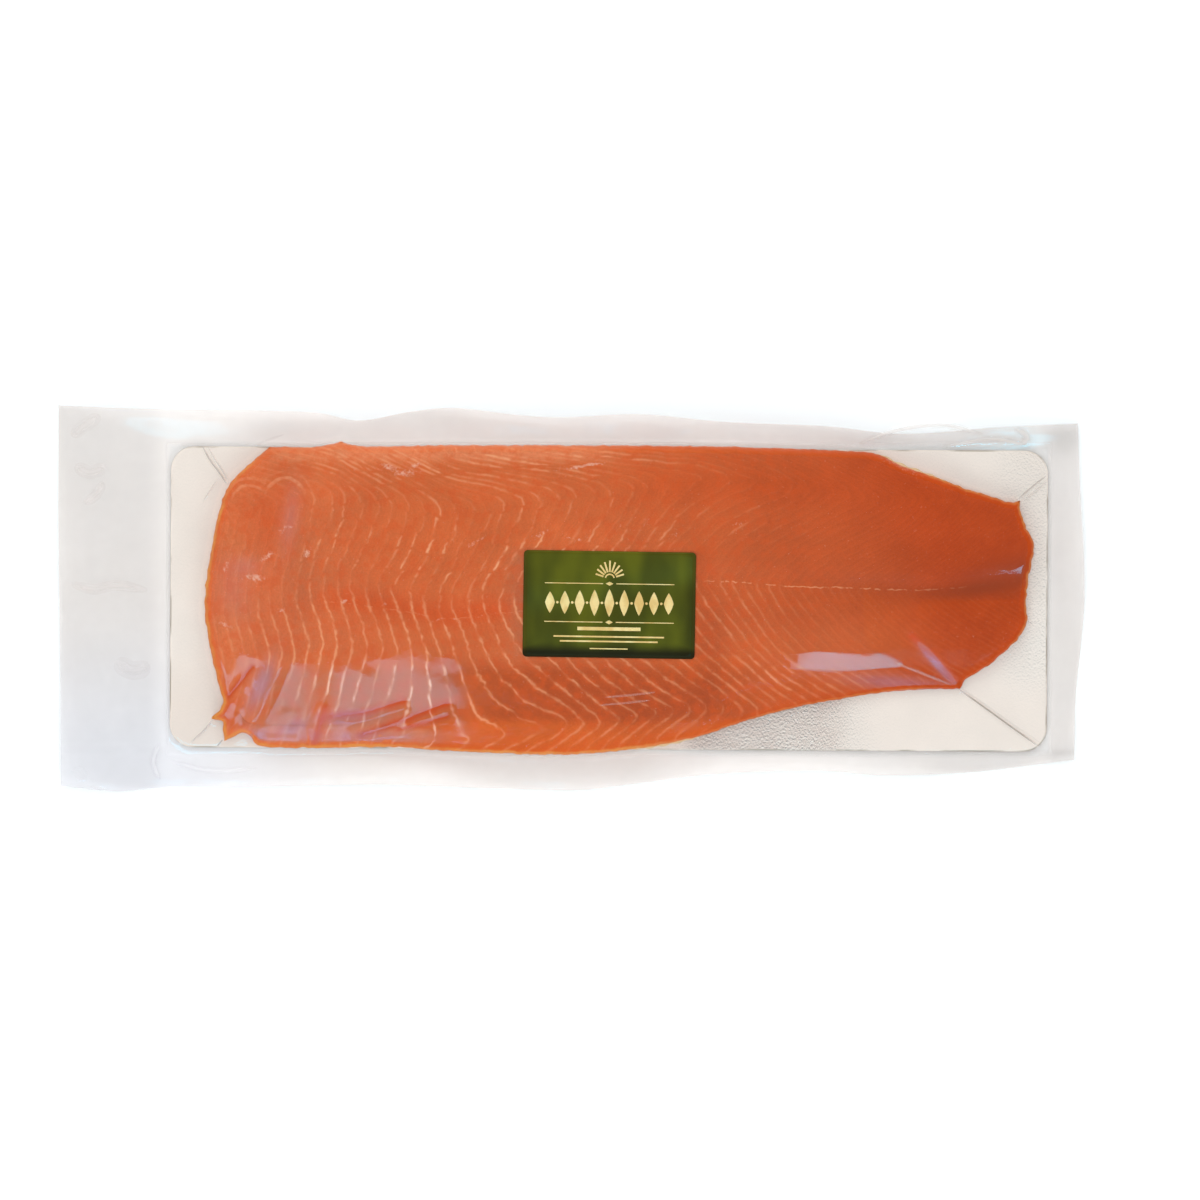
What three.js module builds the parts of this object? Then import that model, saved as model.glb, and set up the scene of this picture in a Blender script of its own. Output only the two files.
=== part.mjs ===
// A side of cold-smoked salmon, vacuum packed on a foil-laminated board in a clear bag, with a
// paper label on top. Millimetres, +Z up. The pack lies flat: X runs from the head end (-) to the
// tail end (+), Y from the belly (-) to the back (+). The origin is under the middle of the bag.

import * as THREE from "three";

// ---------------------------------------------------------------- driving dimensions

const FILM = { thickness: 0.6, rise: 4.2, skirt: 11 }; // the two films of the bag, welded flat
const GAP = 0.3; // between pieces that lie on each other
const BOARD = { length: 558, width: 191.5, thickness: 1.5, corner: 15, turn: -0.3, x: 24, y: -0.8 };
const LABEL = {
  length: 109, width: 67.5, thickness: 0.3, corner: 4, turn: -0.9, x: 24.2, y: -4.2, clear: 0.45,
};
const FLESH = { thickest: 20.5, edgeRound: 7, edgeHeight: 0.42, tuck: 1.4, middle: [30, 0] };

const FLOOR_TOP = FILM.thickness;
const BOARD_BASE = FLOOR_TOP + GAP;
const BOARD_TOP = BOARD_BASE + BOARD.thickness;
const FLESH_BASE = BOARD_TOP + GAP;

// Steps of the mesh; a corner of the bag falls on the middle point of a corner's arc.
const DETAIL = { fleshColumns: 90, fleshRows: 28, bagColumns: 44, bagRows: 16, corner: 6 };

// The outer edge of the bag: straight cut ends, and long sides that the vacuum drew into waves.
const BAG_EDGE = {
  belly: [[-325, -119.5], [-290, -123], [-255, -120.3], [-204, -120.3], [-121, -118.7], [-45, -121.3],
    [5, -122.2], [37, -118.7], [94, -111.8], [164, -110.2], [193, -112.7], [253, -111], [320, -103]],
  tail: [[320, -103], [321.2, -62], [324.4, -31], [326.5, -5], [326.3, 24], [324, 66], [322.5, 111]],
  back: [[-326.5, 122.6], [-267, 120.3], [-191, 119.1], [-160, 117.6], [-136, 113], [-102, 118.7],
    [-77, 121], [-32, 116.2], [-7, 114.9], [44, 116.8], [94, 112.4], [164, 109.2], [209, 104.5],
    [272, 108.6], [322.5, 111]],
  head: [[-325, -119.5], [-325.2, -64], [-325.9, 0], [-326.5, 62], [-326.5, 122.6]],
};

// The edge of the fillet, in four stretches that meet at its corners. The belly flap ends in two
// small points at the head end.
const FLESH_EDGE = {
  belly: [[-220.5, -90.8], [-214, -87.6], [-209, -85.7], [-204, -87.5], [-200, -93], [-168, -95],
    [-109, -94.6], [-86, -96.5], [-50, -98.2], [-15, -99.4], [12, -98.6], [47.5, -94.6], [82, -88.9],
    [88, -83.8], [107, -78.1], [143, -69.2], [166, -64.8], [194, -60.3], [219, -58.1], [247, -57.6]],
  tail: [[247, -57.6], [249, -53.3], [264, -43.2], [280, -29.8], [285.6, -22.9], [288.8, -16.5],
    [288.8, -4.1], [289.6, 10.2], [292, 21], [293.7, 34], [288.8, 45.7], [286.1, 52.9], [285, 61.6]],
  back: [[-191.3, 95.8], [-160, 96], [-146.8, 98.9], [-136, 96.5], [-83, 96.8], [-7, 96.8], [94, 96],
    [166, 93.5], [193.5, 91.4], [210, 83.8], [237, 74.3], [251, 69], [266, 64.5], [278.6, 60.6],
    [285, 61.6]],
  head: [[-220.5, -90.8], [-221.1, -83.8], [-221.7, -78], [-228.4, -76.4], [-224.3, -72.4],
    [-221.1, -66.5], [-223.3, -57.6], [-226.8, -43.2], [-230, -27.3], [-232.5, -13], [-232.5, 3.2],
    [-230.8, 17.1], [-224.7, 49.5], [-218.3, 69.8], [-212.9, 76.8], [-202.1, 86.7], [-191.3, 95.8]],
};

// Thickness along the fillet (0 head, 1 tail) as a share of the thickest, and across it (0 belly
// edge, 1 back edge) as a share of that: a thin belly flap at the head, a full one in the middle,
// and a belly side that falls off steeply towards the tail.
const ALONG = [[0, 0.62], [0.1, 0.83], [0.3, 0.98], [0.48, 1], [0.7, 0.86], [0.86, 0.65], [1, 0.46]];
const ACROSS = [
  { at: 0.2, knots: [[0, 0.28], [0.3, 0.74], [0.45, 0.88], [0.62, 1], [0.84, 0.97], [1, 0.86]] },
  { at: 0.48, knots: [[0, 0.58], [0.3, 0.81], [0.45, 0.9], [0.62, 1], [0.84, 0.97], [1, 0.86]] },
  { at: 0.8, knots: [[0, 0.33], [0.1, 0.7], [0.2, 0.86], [0.45, 0.95], [0.62, 1], [0.84, 0.97], [1, 0.86]] },
];
const ROUNDING = { along: 0.08, across: 0.07 }; // how far a knot of these profiles is rounded off

// The row where the pin bones sat, a shallow groove that deepens towards the tail.
const BONE_ROW = [[-223, -16], [-150, -3], [-77, -12], [18, -1], [80, 9.5], [194, 5.7], [284, 10]];
const GROOVE = { width: 9, head: 0.25, tail: 1.5 };

// Folds that the film pressed into the belly flap: from, to, half width and height (- is a valley).
const FOLDS = [
  { from: [-203, -42], to: [-222, -66], width: 4.5, height: -1.8 },
  { from: [-208, -52], to: [-219, -86], width: 5, height: 1.6 },
  { from: [-168, -94], to: [-153, -72], width: 5, height: -1.8 },
  { from: [-139, -88], to: [-78, -73], width: 4.5, height: 1.5 },
  { from: [-136, -76], to: [-104, -65], width: 4.5, height: -1.2 },
  { from: [-126, -93], to: [-70, -84], width: 4, height: -1.3 },
  { from: [38, -66], to: [96, -60], width: 6, height: -0.8 },
  { from: [220, -24], to: [250, -56], width: 5, height: -0.9 },
];

// ---------------------------------------------------------------- curves and profiles

const smooth = (t) => t * t * (3 - 2 * t);

// A function of 0 to 1 along a curve through the given points.
function edgeThrough(points) {
  const line = new THREE.CatmullRomCurve3(
    points.map(([x, y]) => new THREE.Vector3(x, y, 0)), false, "centripetal");
  line.arcLengthDivisions = 400;
  return (t) => line.getPointAt(THREE.MathUtils.clamp(t, 0, 1));
}

// A value along straight lines between [place, value] knots, each knot rounded off.
function profileThrough(knots, rounding) {
  const straight = (at) => {
    const next = knots.findIndex(([place]) => place >= at);
    if (next === 0) return knots[0][1];
    if (next < 0) return knots.at(-1)[1];
    const [[a, from], [b, to]] = [knots[next - 1], knots[next]];
    return from + ((to - from) * (at - a)) / (b - a);
  };
  const taps = [-1, -0.5, 0, 0.5, 1];
  return (at) => taps.reduce((sum, tap) => sum + straight(at + tap * rounding), 0) / taps.length;
}

// A mix of several profiles, each of which holds at its own place along the way.
function blendedProfile(stations, rounding) {
  const profiles = stations.map(({ at, knots }) => ({ at, value: profileThrough(knots, rounding) }));
  return (along, across) => {
    const next = profiles.findIndex(({ at }) => at >= along);
    if (next === 0) return profiles[0].value(across);
    if (next < 0) return profiles.at(-1).value(across);
    const [a, b] = [profiles[next - 1], profiles[next]];
    const share = smooth((along - a.at) / (b.at - a.at));
    return a.value(across) * (1 - share) + b.value(across) * share;
  };
}

// A surface that fills the space between four edges: s runs from head to tail, t from belly to back.
function patchBetween({ belly, back, head, tail }) {
  const [b, k, h, e] = [belly, back, head, tail].map(edgeThrough);
  const corner = (s, t) => (t ? k(s) : b(s));
  return (s, t) => {
    const along = b(s).multiplyScalar(1 - t).add(k(s).multiplyScalar(t));
    const across = h(t).multiplyScalar(1 - s).add(e(t).multiplyScalar(s));
    const bent = corner(0, 0).multiplyScalar((1 - s) * (1 - t))
      .add(corner(0, 1).multiplyScalar((1 - s) * t))
      .add(corner(1, 0).multiplyScalar(s * (1 - t)))
      .add(corner(1, 1).multiplyScalar(s * t));
    return along.add(across).sub(bent);
  };
}

// How far a point lies from a line of points.
function distanceTo(line, x, y) {
  let best = Infinity;
  for (let i = 1; i < line.length; i++) {
    const [ax, ay] = line[i - 1];
    const [bx, by] = line[i];
    const [dx, dy] = [bx - ax, by - ay];
    const along = THREE.MathUtils.clamp(((x - ax) * dx + (y - ay) * dy) / (dx * dx + dy * dy), 0, 1);
    best = Math.min(best, Math.hypot(x - ax - along * dx, y - ay - along * dy));
  }
  return best;
}

// ---------------------------------------------------------------- closed bodies

class Body {
  constructor() {
    this.places = [];
    this.faces = [];
  }
  point(x, y, z) {
    this.places.push(x, y, z);
    return this.places.length / 3 - 1;
  }
  quad(a, b, c, d) {
    this.faces.push(a, b, c, a, c, d);
  }
  // Faces between two closed rings of points, seen from above or, with up false, from below. The
  // second ring lies inwards of or above the first. Both sides of a sheet share their diagonals.
  band(outer, inner, up = true) {
    outer.forEach((a, i) => {
      const j = (i + 1) % outer.length;
      const [b, c, d] = [outer[j], inner[j], inner[i]];
      this.faces.push(...(up ? [a, b, c, a, c, d] : [a, c, b, a, d, c]));
    });
  }
  // Faces from a ring to a point in its middle, facing up or down.
  fan(ring, middle, up) {
    const centre = this.point(...middle);
    ring.forEach((a, i) => {
      const b = ring[(i + 1) % ring.length];
      this.faces.push(...(up ? [a, b, centre] : [b, a, centre]));
    });
  }
  // A flat face inside a ring of any outline, facing up or down.
  cap(ring, up) {
    const flat = ring.map((i) => new THREE.Vector2(this.places[3 * i], this.places[3 * i + 1]));
    for (const [a, b, c] of THREE.ShapeUtils.triangulateShape(flat, [])) {
      this.faces.push(...(up ? [ring[a], ring[b], ring[c]] : [ring[a], ring[c], ring[b]]));
    }
  }
  geometry() {
    const made = new THREE.BufferGeometry();
    made.setAttribute("position", new THREE.Float32BufferAttribute(this.places, 3));
    made.setIndex(this.faces);
    made.computeVertexNormals();
    return made;
  }
}

// The rim of a grid of points, anticlockwise from the belly-head corner.
function rimOf(grid) {
  const columns = grid.length;
  const rows = grid[0].length;
  const rim = [];
  for (let i = 0; i < columns - 1; i++) rim.push(grid[i][0]);
  for (let j = 0; j < rows - 1; j++) rim.push(grid[columns - 1][j]);
  for (let i = columns - 1; i > 0; i--) rim.push(grid[i][rows - 1]);
  for (let j = rows - 1; j > 0; j--) rim.push(grid[0][j]);
  return rim;
}

function fillGrid(body, grid, up) {
  for (let i = 1; i < grid.length; i++) {
    for (let j = 1; j < grid[0].length; j++) {
      const corners = [grid[i - 1][j - 1], grid[i][j - 1], grid[i][j], grid[i - 1][j]];
      body.quad(...(up ? corners : corners.reverse()));
    }
  }
}

// A closed loop with round corners: count points along each side and on each corner's arc.
function roundedLoop({ length, width, corner, turn, x, y }, grow, sidePoints, shortPoints, arcPoints) {
  const [halfX, halfY, radius] = [length / 2 + grow, width / 2 + grow, corner + grow];
  const loop = [];
  const corners = [[1, -1], [1, 1], [-1, 1], [-1, -1]];
  corners.forEach(([sx, sy], k) => {
    const start = (k - 1) * (Math.PI / 2);
    for (let i = 0; i <= arcPoints; i++) {
      const angle = start + (i / arcPoints) * (Math.PI / 2);
      loop.push([sx * (halfX - radius) + radius * Math.cos(angle),
        sy * (halfY - radius) + radius * Math.sin(angle)]);
    }
    const [nx, ny] = corners[(k + 1) % 4];
    const from = loop.at(-1);
    const to = [nx * (halfX - (k % 2 ? radius : 0)), ny * (halfY - (k % 2 ? 0 : radius))];
    const steps = k % 2 ? sidePoints : shortPoints;
    for (let i = 1; i < steps; i++) {
      loop.push([from[0] + ((to[0] - from[0]) * i) / steps, from[1] + ((to[1] - from[1]) * i) / steps]);
    }
  });
  const angle = THREE.MathUtils.degToRad(turn);
  return loop.map(([px, py]) => [
    x + px * Math.cos(angle) - py * Math.sin(angle), y + px * Math.sin(angle) + py * Math.cos(angle)]);
}

// The whole edge as one closed line, anticlockwise.
function outlineOf({ belly, tail, back, head }, steps) {
  const sides = [belly, tail, back.toReversed(), head.toReversed()];
  const loop = sides.flatMap((side) => {
    const edge = edgeThrough(side);
    return Array.from({ length: steps }, (_, i) => edge(i / steps)).map(({ x, y }) => [x, y]);
  });
  return [...loop, loop[0]];
}

// ---------------------------------------------------------------- the fillet

const fleshPatch = patchBetween(FLESH_EDGE);
const fleshOutline = outlineOf(FLESH_EDGE, 60);
const thicknessAlong = profileThrough(ALONG, ROUNDING.along);
const thicknessAcross = blendedProfile(ACROSS, ROUNDING.across);

// Height that folds and the bone row add to the flesh at a place.
function fleshRelief(x, y, s) {
  const groove = GROOVE.head + (GROOVE.tail - GROOVE.head) * s * s;
  const inGroove = distanceTo(BONE_ROW, x, y) / GROOVE.width;
  let height = -groove * Math.exp(-inGroove * inGroove);
  for (const fold of FOLDS) {
    const off = distanceTo([fold.from, fold.to], x, y) / fold.width;
    height += fold.height * Math.exp(-off * off);
  }
  return height;
}

// Height of the flesh above its flat base. It rounds over towards its edge.
function fleshHeight(x, y, s, t) {
  const full = FLESH.thickest * thicknessAlong(s) * thicknessAcross(s, t) + fleshRelief(x, y, s);
  const inward = Math.min(1, distanceTo(fleshOutline, x, y) / FLESH.edgeRound);
  return full * (FLESH.edgeHeight + (1 - FLESH.edgeHeight) * Math.sqrt(1 - (1 - inward) ** 2));
}

function buildFlesh() {
  const body = new Body();
  const { fleshColumns: columns, fleshRows: rows } = DETAIL;
  const grid = [];
  for (let i = 0; i <= columns; i++) {
    grid.push([]);
    for (let j = 0; j <= rows; j++) {
      const [s, t] = [i / columns, j / rows];
      const { x, y } = fleshPatch(s, t);
      grid[i].push(body.point(x, y, FLESH_BASE + fleshHeight(x, y, s, t)));
    }
  }
  fillGrid(body, grid, true);
  const rim = rimOf(grid);
  // The side leans in by the tuck on its way down to the board.
  const middle = new THREE.Vector2(...FLESH.middle);
  const foot = rim.map((point) => {
    const place = new THREE.Vector2().fromArray(body.places, 3 * point);
    const inwards = middle.clone().sub(place).setLength(FLESH.tuck);
    return body.point(...place.add(inwards), FLESH_BASE);
  });
  body.band(foot, rim);
  body.cap(foot, false);
  return body.geometry();
}

// ---------------------------------------------------------------- the board

function buildBoard() {
  const body = new Body();
  const loop = roundedLoop(BOARD, 0, 1, 1, 8);
  const low = loop.map(([x, y]) => body.point(x, y, BOARD_BASE));
  const high = loop.map(([x, y]) => body.point(x, y, BOARD_TOP));
  body.band(low, high);
  body.cap(low, false);
  body.cap(high, true);
  return body.geometry();
}

// ---------------------------------------------------------------- the bag

// How far the loose margin of the bag lifts off the table at a place.
function marginWave(x, y) {
  const long = Math.sin(x / 41 + 1.2) * Math.sin(y / 62 - 0.4);
  const short = Math.sin(x / 17 + y / 23) * 0.45;
  return Math.max(0, 0.45 + 0.55 * (long + short));
}

// The bag's edge in as many points as its pocket's loop, which starts half a corner's arc before
// the corner of belly and tail. Each side starts at the middle of an arc and has its own share.
function outerLoop(count) {
  const { bagColumns, bagRows, corner } = DETAIL;
  const sides = [
    { line: BAG_EDGE.tail, points: bagRows + corner },
    { line: BAG_EDGE.back.toReversed(), points: bagColumns + corner },
    { line: BAG_EDGE.head.toReversed(), points: bagRows + corner },
    { line: BAG_EDGE.belly, points: bagColumns + corner },
  ];
  const loop = sides.flatMap(({ line, points }) => {
    const edge = edgeThrough(line);
    return Array.from({ length: points }, (_, i) => edge(i / points)).map(({ x, y }) => [x, y]);
  });
  const early = corner / 2;
  return Array.from({ length: count }, (_, i) => loop[(i - early + count) % count]);
}

// The bag is a tray of film: a flat floor under the board, an upstand that hugs the board's edge,
// a skirt that falls from it, and the welded margin with its waves.
function buildBag() {
  const body = new Body();
  const { bagColumns, bagRows, corner } = DETAIL;
  const inner = roundedLoop(BOARD, GAP, bagColumns, bagRows, corner);
  const outer = outerLoop(inner.length);
  const reach = [1, 0.86, 0.66, 0.46, 0.3, 0.15, 0]; // rings, from the bag's edge to the board
  const ringAt = (share, height) => inner.map(([ix, iy], i) => {
    const x = ix + (outer[i][0] - ix) * share;
    const y = iy + (outer[i][1] - iy) * share;
    return body.point(x, y, height(x, y, Math.hypot(x - ix, y - iy), share));
  });
  const lift = (x, y, share) => FILM.rise * marginWave(x, y) * smooth(share);
  const under = (x, y, _, share) => lift(x, y, share);
  const over = (x, y, out, share) => {
    const slope = smooth(Math.max(0, 1 - out / FILM.skirt));
    return lift(x, y, share) + FILM.thickness + (BOARD_TOP - FILM.thickness) * slope;
  };
  const tops = reach.map((share) => ringAt(share, over));
  const bottoms = reach.map((share) => ringAt(share, under));
  const pocket = ringAt(0, () => FLOOR_TOP);
  for (let k = 1; k < reach.length; k++) {
    body.band(tops[k - 1], tops[k]);
    body.band(bottoms[k - 1], bottoms[k], false);
  }
  body.band(bottoms[0], tops[0]);
  body.band(tops.at(-1), pocket);
  body.fan(pocket, [BOARD.x, BOARD.y, FLOOR_TOP], true);
  body.fan(bottoms.at(-1), [BOARD.x, BOARD.y, 0], false);
  return body.geometry();
}

// ---------------------------------------------------------------- the label

// A place on the fillet's own grid for a point of the plan, found by a few corrections.
function fleshPlace(x, y) {
  let [s, t] = [(x + 222) / 500, (y + 90) / 185];
  const step = 1e-3;
  for (let i = 0; i < 12; i++) {
    const here = fleshPatch(s, t);
    const alongS = fleshPatch(s + step, t).sub(here).divideScalar(step);
    const alongT = fleshPatch(s, t + step).sub(here).divideScalar(step);
    const [ex, ey] = [x - here.x, y - here.y];
    const area = alongS.x * alongT.y - alongS.y * alongT.x;
    s += (ex * alongT.y - ey * alongT.x) / area;
    t += (ey * alongS.x - ex * alongS.y) / area;
  }
  return [s, t];
}

function buildLabel() {
  const body = new Body();
  const rings = [1, 0.75, 0.5, 0.25].map((share) => {
    const { length, width, corner } = LABEL;
    const shrunk = { ...LABEL, length: length * share, width: width * share, corner: corner * share };
    return roundedLoop(shrunk, 0, 14, 9, 3);
  });
  const heightOn = ([x, y]) => {
    const [s, t] = fleshPlace(x, y);
    return FLESH_BASE + fleshHeight(x, y, s, t) + LABEL.clear;
  };
  const layer = (above) => rings.map((ring) => ring.map(
    (place) => body.point(...place, heightOn(place) + above)));
  const face = (loops, up) => {
    for (let k = 1; k < loops.length; k++) {
      body.band(loops[k - 1], loops[k], up);
    }
    const { x, y } = LABEL;
    body.fan(loops.at(-1), [x, y, heightOn([x, y]) + (up ? LABEL.thickness : 0)], up);
  };
  const bottom = layer(0);
  const top = layer(LABEL.thickness);
  face(bottom, false);
  face(top, true);
  body.band(bottom[0], top[0]);
  return body.geometry();
}

// ---------------------------------------------------------------- the pack

const clearFilm = { color: "#e9e7e6", roughness: 0.2, metalness: 0, transparent: true, opacity: 0.4 };
const pieces = [
  ["vacuum_bag", buildBag, clearFilm],
  ["foil_board", buildBoard, { color: "#e6dccf", roughness: 0.35, metalness: 0.6 }],
  ["salmon_side", buildFlesh, { color: "#cb6335", roughness: 0.4, metalness: 0 }],
  ["label", buildLabel, { color: "#465a22", roughness: 0.35, metalness: 0.2 }],
];

const pack = new THREE.Group();
for (const [name, build, finish] of pieces) {
  const mesh = new THREE.Mesh(build(), new THREE.MeshStandardMaterial(finish));
  mesh.name = name;
  pack.add(mesh);
}

// The origin moves to the middle of the bag's underside.
const extent = new THREE.Box3().setFromObject(pack);
const centre = extent.getCenter(new THREE.Vector3());
pack.position.set(-centre.x, -centre.y, -extent.min.z);

export default pack;
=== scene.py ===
"""A side of cold-smoked salmon, vacuum packed on a foil board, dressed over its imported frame.

Named values are millimetres unless they say otherwise. Settings and meshes are metres, in the
frame's own axes: +X runs to the tail, +Y to the back of the fish, +Z up. The origin is under the
bag's middle.
"""

import math

import bpy
import numpy as np
from bpy.props import FloatProperty, FloatVectorProperty, PointerProperty
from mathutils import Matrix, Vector
from mathutils.bvhtree import BVHTree


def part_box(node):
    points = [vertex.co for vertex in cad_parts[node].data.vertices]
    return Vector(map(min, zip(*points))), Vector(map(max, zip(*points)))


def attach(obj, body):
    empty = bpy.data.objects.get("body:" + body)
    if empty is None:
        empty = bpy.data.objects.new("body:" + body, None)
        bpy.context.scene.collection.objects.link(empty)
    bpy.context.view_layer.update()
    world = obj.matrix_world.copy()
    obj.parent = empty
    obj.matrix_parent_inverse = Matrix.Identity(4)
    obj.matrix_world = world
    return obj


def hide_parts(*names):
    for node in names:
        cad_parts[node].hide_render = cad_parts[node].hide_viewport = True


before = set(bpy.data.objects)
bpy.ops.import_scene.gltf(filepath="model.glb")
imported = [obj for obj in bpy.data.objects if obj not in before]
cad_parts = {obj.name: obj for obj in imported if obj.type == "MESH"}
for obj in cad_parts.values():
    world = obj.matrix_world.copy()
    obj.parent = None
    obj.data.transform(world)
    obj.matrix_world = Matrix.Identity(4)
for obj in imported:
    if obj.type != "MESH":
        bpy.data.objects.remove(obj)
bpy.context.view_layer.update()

bl_info = {
    "name": "Smoked salmon pack",
    "version": (1, 0, 0),
    "blender": (4, 5, 0),
    "location": "View3D > Sidebar > Salmon pack",
    "description": "Builds a vacuum-packed side of smoked salmon over its packed frame",
    "category": "Object",
}

MM = 0.001
BODY = "root"

# ------------------------------------------------------------------ sizes and places

# The edge of the fish in four stretches, and the edge of the bag, close to the frame's own.
FLESH_EDGE = {
    "belly": [
        (-220.5, -90.8), (-214, -87.6), (-209, -85.7), (-204, -87.5), (-200, -93), (-168, -95),
        (-109, -94.6), (-86, -96.5), (-50, -98.2), (-15, -99.4), (12, -98.6), (47.5, -94.6),
        (80, -88), (93, -84), (107, -79), (143, -69.2), (166, -64.8), (194, -60.3),
        (219, -58.1), (247, -57.6),
    ],
    "tail": [
        (247, -57.6), (249, -53.3), (264, -43.2), (280, -29.8), (285.6, -22.9), (288.8, -16.5),
        (288.8, -4.1), (289.6, 10.2), (292, 21), (293.7, 34), (288.8, 45.7), (286.1, 52.9),
        (285, 61.6),
    ],
    "back": [
        (-191.3, 95.8), (-160, 96), (-146.8, 98.9), (-136, 96.5), (-83, 96.8), (-7, 96.8),
        (94, 96), (166, 93.5), (193.5, 91.4), (210, 83.8), (237, 74.3), (251, 69), (266, 64.5),
        (278.6, 60.6), (285, 61.6),
    ],
    "head": [
        (-220.5, -90.8), (-221.1, -83.8), (-221.7, -78), (-228.4, -76.4), (-224.3, -72.4),
        (-221.1, -66.5), (-223.3, -57.6), (-226.8, -43.2), (-230, -27.3), (-232.5, -13),
        (-232.5, 3.2), (-230.8, 17.1), (-224.7, 49.5), (-218.3, 69.8), (-212.9, 76.8),
        (-202.1, 86.7), (-191.3, 95.8),
    ],
}
BAG_EDGE = {
    "belly": [
        (-325, -119.5), (-290, -123), (-255, -120.3), (-204, -120.3), (-121, -118.7),
        (-45, -121.3), (5, -122.2), (37, -118.7), (94, -111.8), (164, -110.2), (193, -112.7),
        (253, -111), (320, -103),
    ],
    "tail": [
        (320, -103), (321.2, -62), (324.4, -31), (326.5, -5), (326.3, 24), (324, 66),
        (322.5, 111),
    ],
    "back": [
        (-326.5, 122.6), (-267, 120.3), (-191, 119.1), (-160, 117.6), (-136, 113), (-102, 118.7),
        (-77, 121), (-32, 116.2), (-7, 114.9), (44, 116.8), (94, 112.4), (164, 109.2),
        (209, 104.5), (272, 108.6), (322.5, 111),
    ],
    "head": [(-325, -119.5), (-325.2, -64), (-325.9, 0), (-326.5, 62), (-326.5, 122.6)],
}

# Thickness along the fish (0 head, 1 tail) and, at three places along it, across it (0 belly edge,
# 1 back edge), as shares; each knot is rounded off.
ALONG = [(0, 0.62), (0.1, 0.83), (0.3, 0.98), (0.48, 1), (0.7, 0.86), (0.86, 0.65), (1, 0.46)]
ACROSS = [
    (0.2, [(0, 0.28), (0.3, 0.74), (0.45, 0.88), (0.62, 1), (0.84, 0.97), (1, 0.86)]),
    (0.48, [(0, 0.58), (0.3, 0.81), (0.45, 0.9), (0.62, 1), (0.84, 0.97), (1, 0.86)]),
    (0.8, [(0, 0.33), (0.1, 0.7), (0.2, 0.86), (0.45, 0.95), (0.62, 1), (0.84, 0.97), (1, 0.86)]),
]
ROUNDING_ALONG = 0.08
ROUNDING_ACROSS = 0.07
THICKNESS = 20.5  # of the flesh at its thickest
EDGE_HEIGHT = 0.42  # height of the flesh at its very edge, as a share of the height inwards
FLESH_STEPS = (470, 180)  # along and across
SIDE_ROWS = 6  # rows of faces down the flesh's side
SIDE_BULGE = 0.5
RAGGED_DEPTH = 6  # how far in from its edge the flesh's plan is uneven
RIM_STRIDE = 3  # only every third point of a rim is used to measure how far away it lies

# The row where the pin bones sat.
BONE_ROW = [
    (-232, -20), (-223, -16.5), (-186, -8.6), (-150, -2.5), (-136, -4.4), (-105, -8.6),
    (-77, -13), (-50, -10.2), (-36, -8.9), (18, -1.3), (80, 10.2), (141, 7.4), (194, 5.7),
    (219, 4.8), (254, 7.4), (284, 11), (296, 12),
]
GROOVE_WIDTH = 9
GROOVE_DEPTH = (0.25, 1.4)  # at the head and at the tail

# Folds of the belly flap: places, half width, height; a negative height is a valley.
FOLDS = [
    ([(-202.7, -43.8), (-217.3, -62.2)], 1.7, -1.5),
    ([(-184, -42.5), (-203, -82)], 4.0, 1.1),
    ([(-208.4, -66.7), (-217.9, -88.9)], 1.7, 0.9),
    ([(-156.3, -69.9), (-163.3, -91.4)], 2.8, -1.6),
    ([(-168.5, -82), (-166, -92)], 2.0, 0.8),
    ([(-153.2, -74.9), (-130, -72.2), (-106.2, -65.4)], 2.0, -0.9),
    ([(-143.6, -82.6), (-105.5, -69.2)], 2.2, 0.8),
    ([(-134.1, -87.6), (-110, -79), (-78.2, -66.7)], 2.2, -1.1),
    ([(-121.4, -87.5), (-78.9, -71.4)], 1.8, 0.7),
    ([(-110, -83.8), (-78.9, -74.9)], 1.5, -0.7),
    ([(-118.2, -90.8), (-77.6, -78.1)], 1.8, 0.8),
    ([(-78.2, -66.7), (-32.5, -69.9), (18.3, -68.6), (69, -64.8), (107, -58.4)], 5.0, -0.1),
    ([(-59.2, -88.9), (-45.2, -83.8)], 1.8, 0.7),
    ([(216, -24), (230, -38), (243, -52)], 1.9, -0.5),
]

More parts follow.
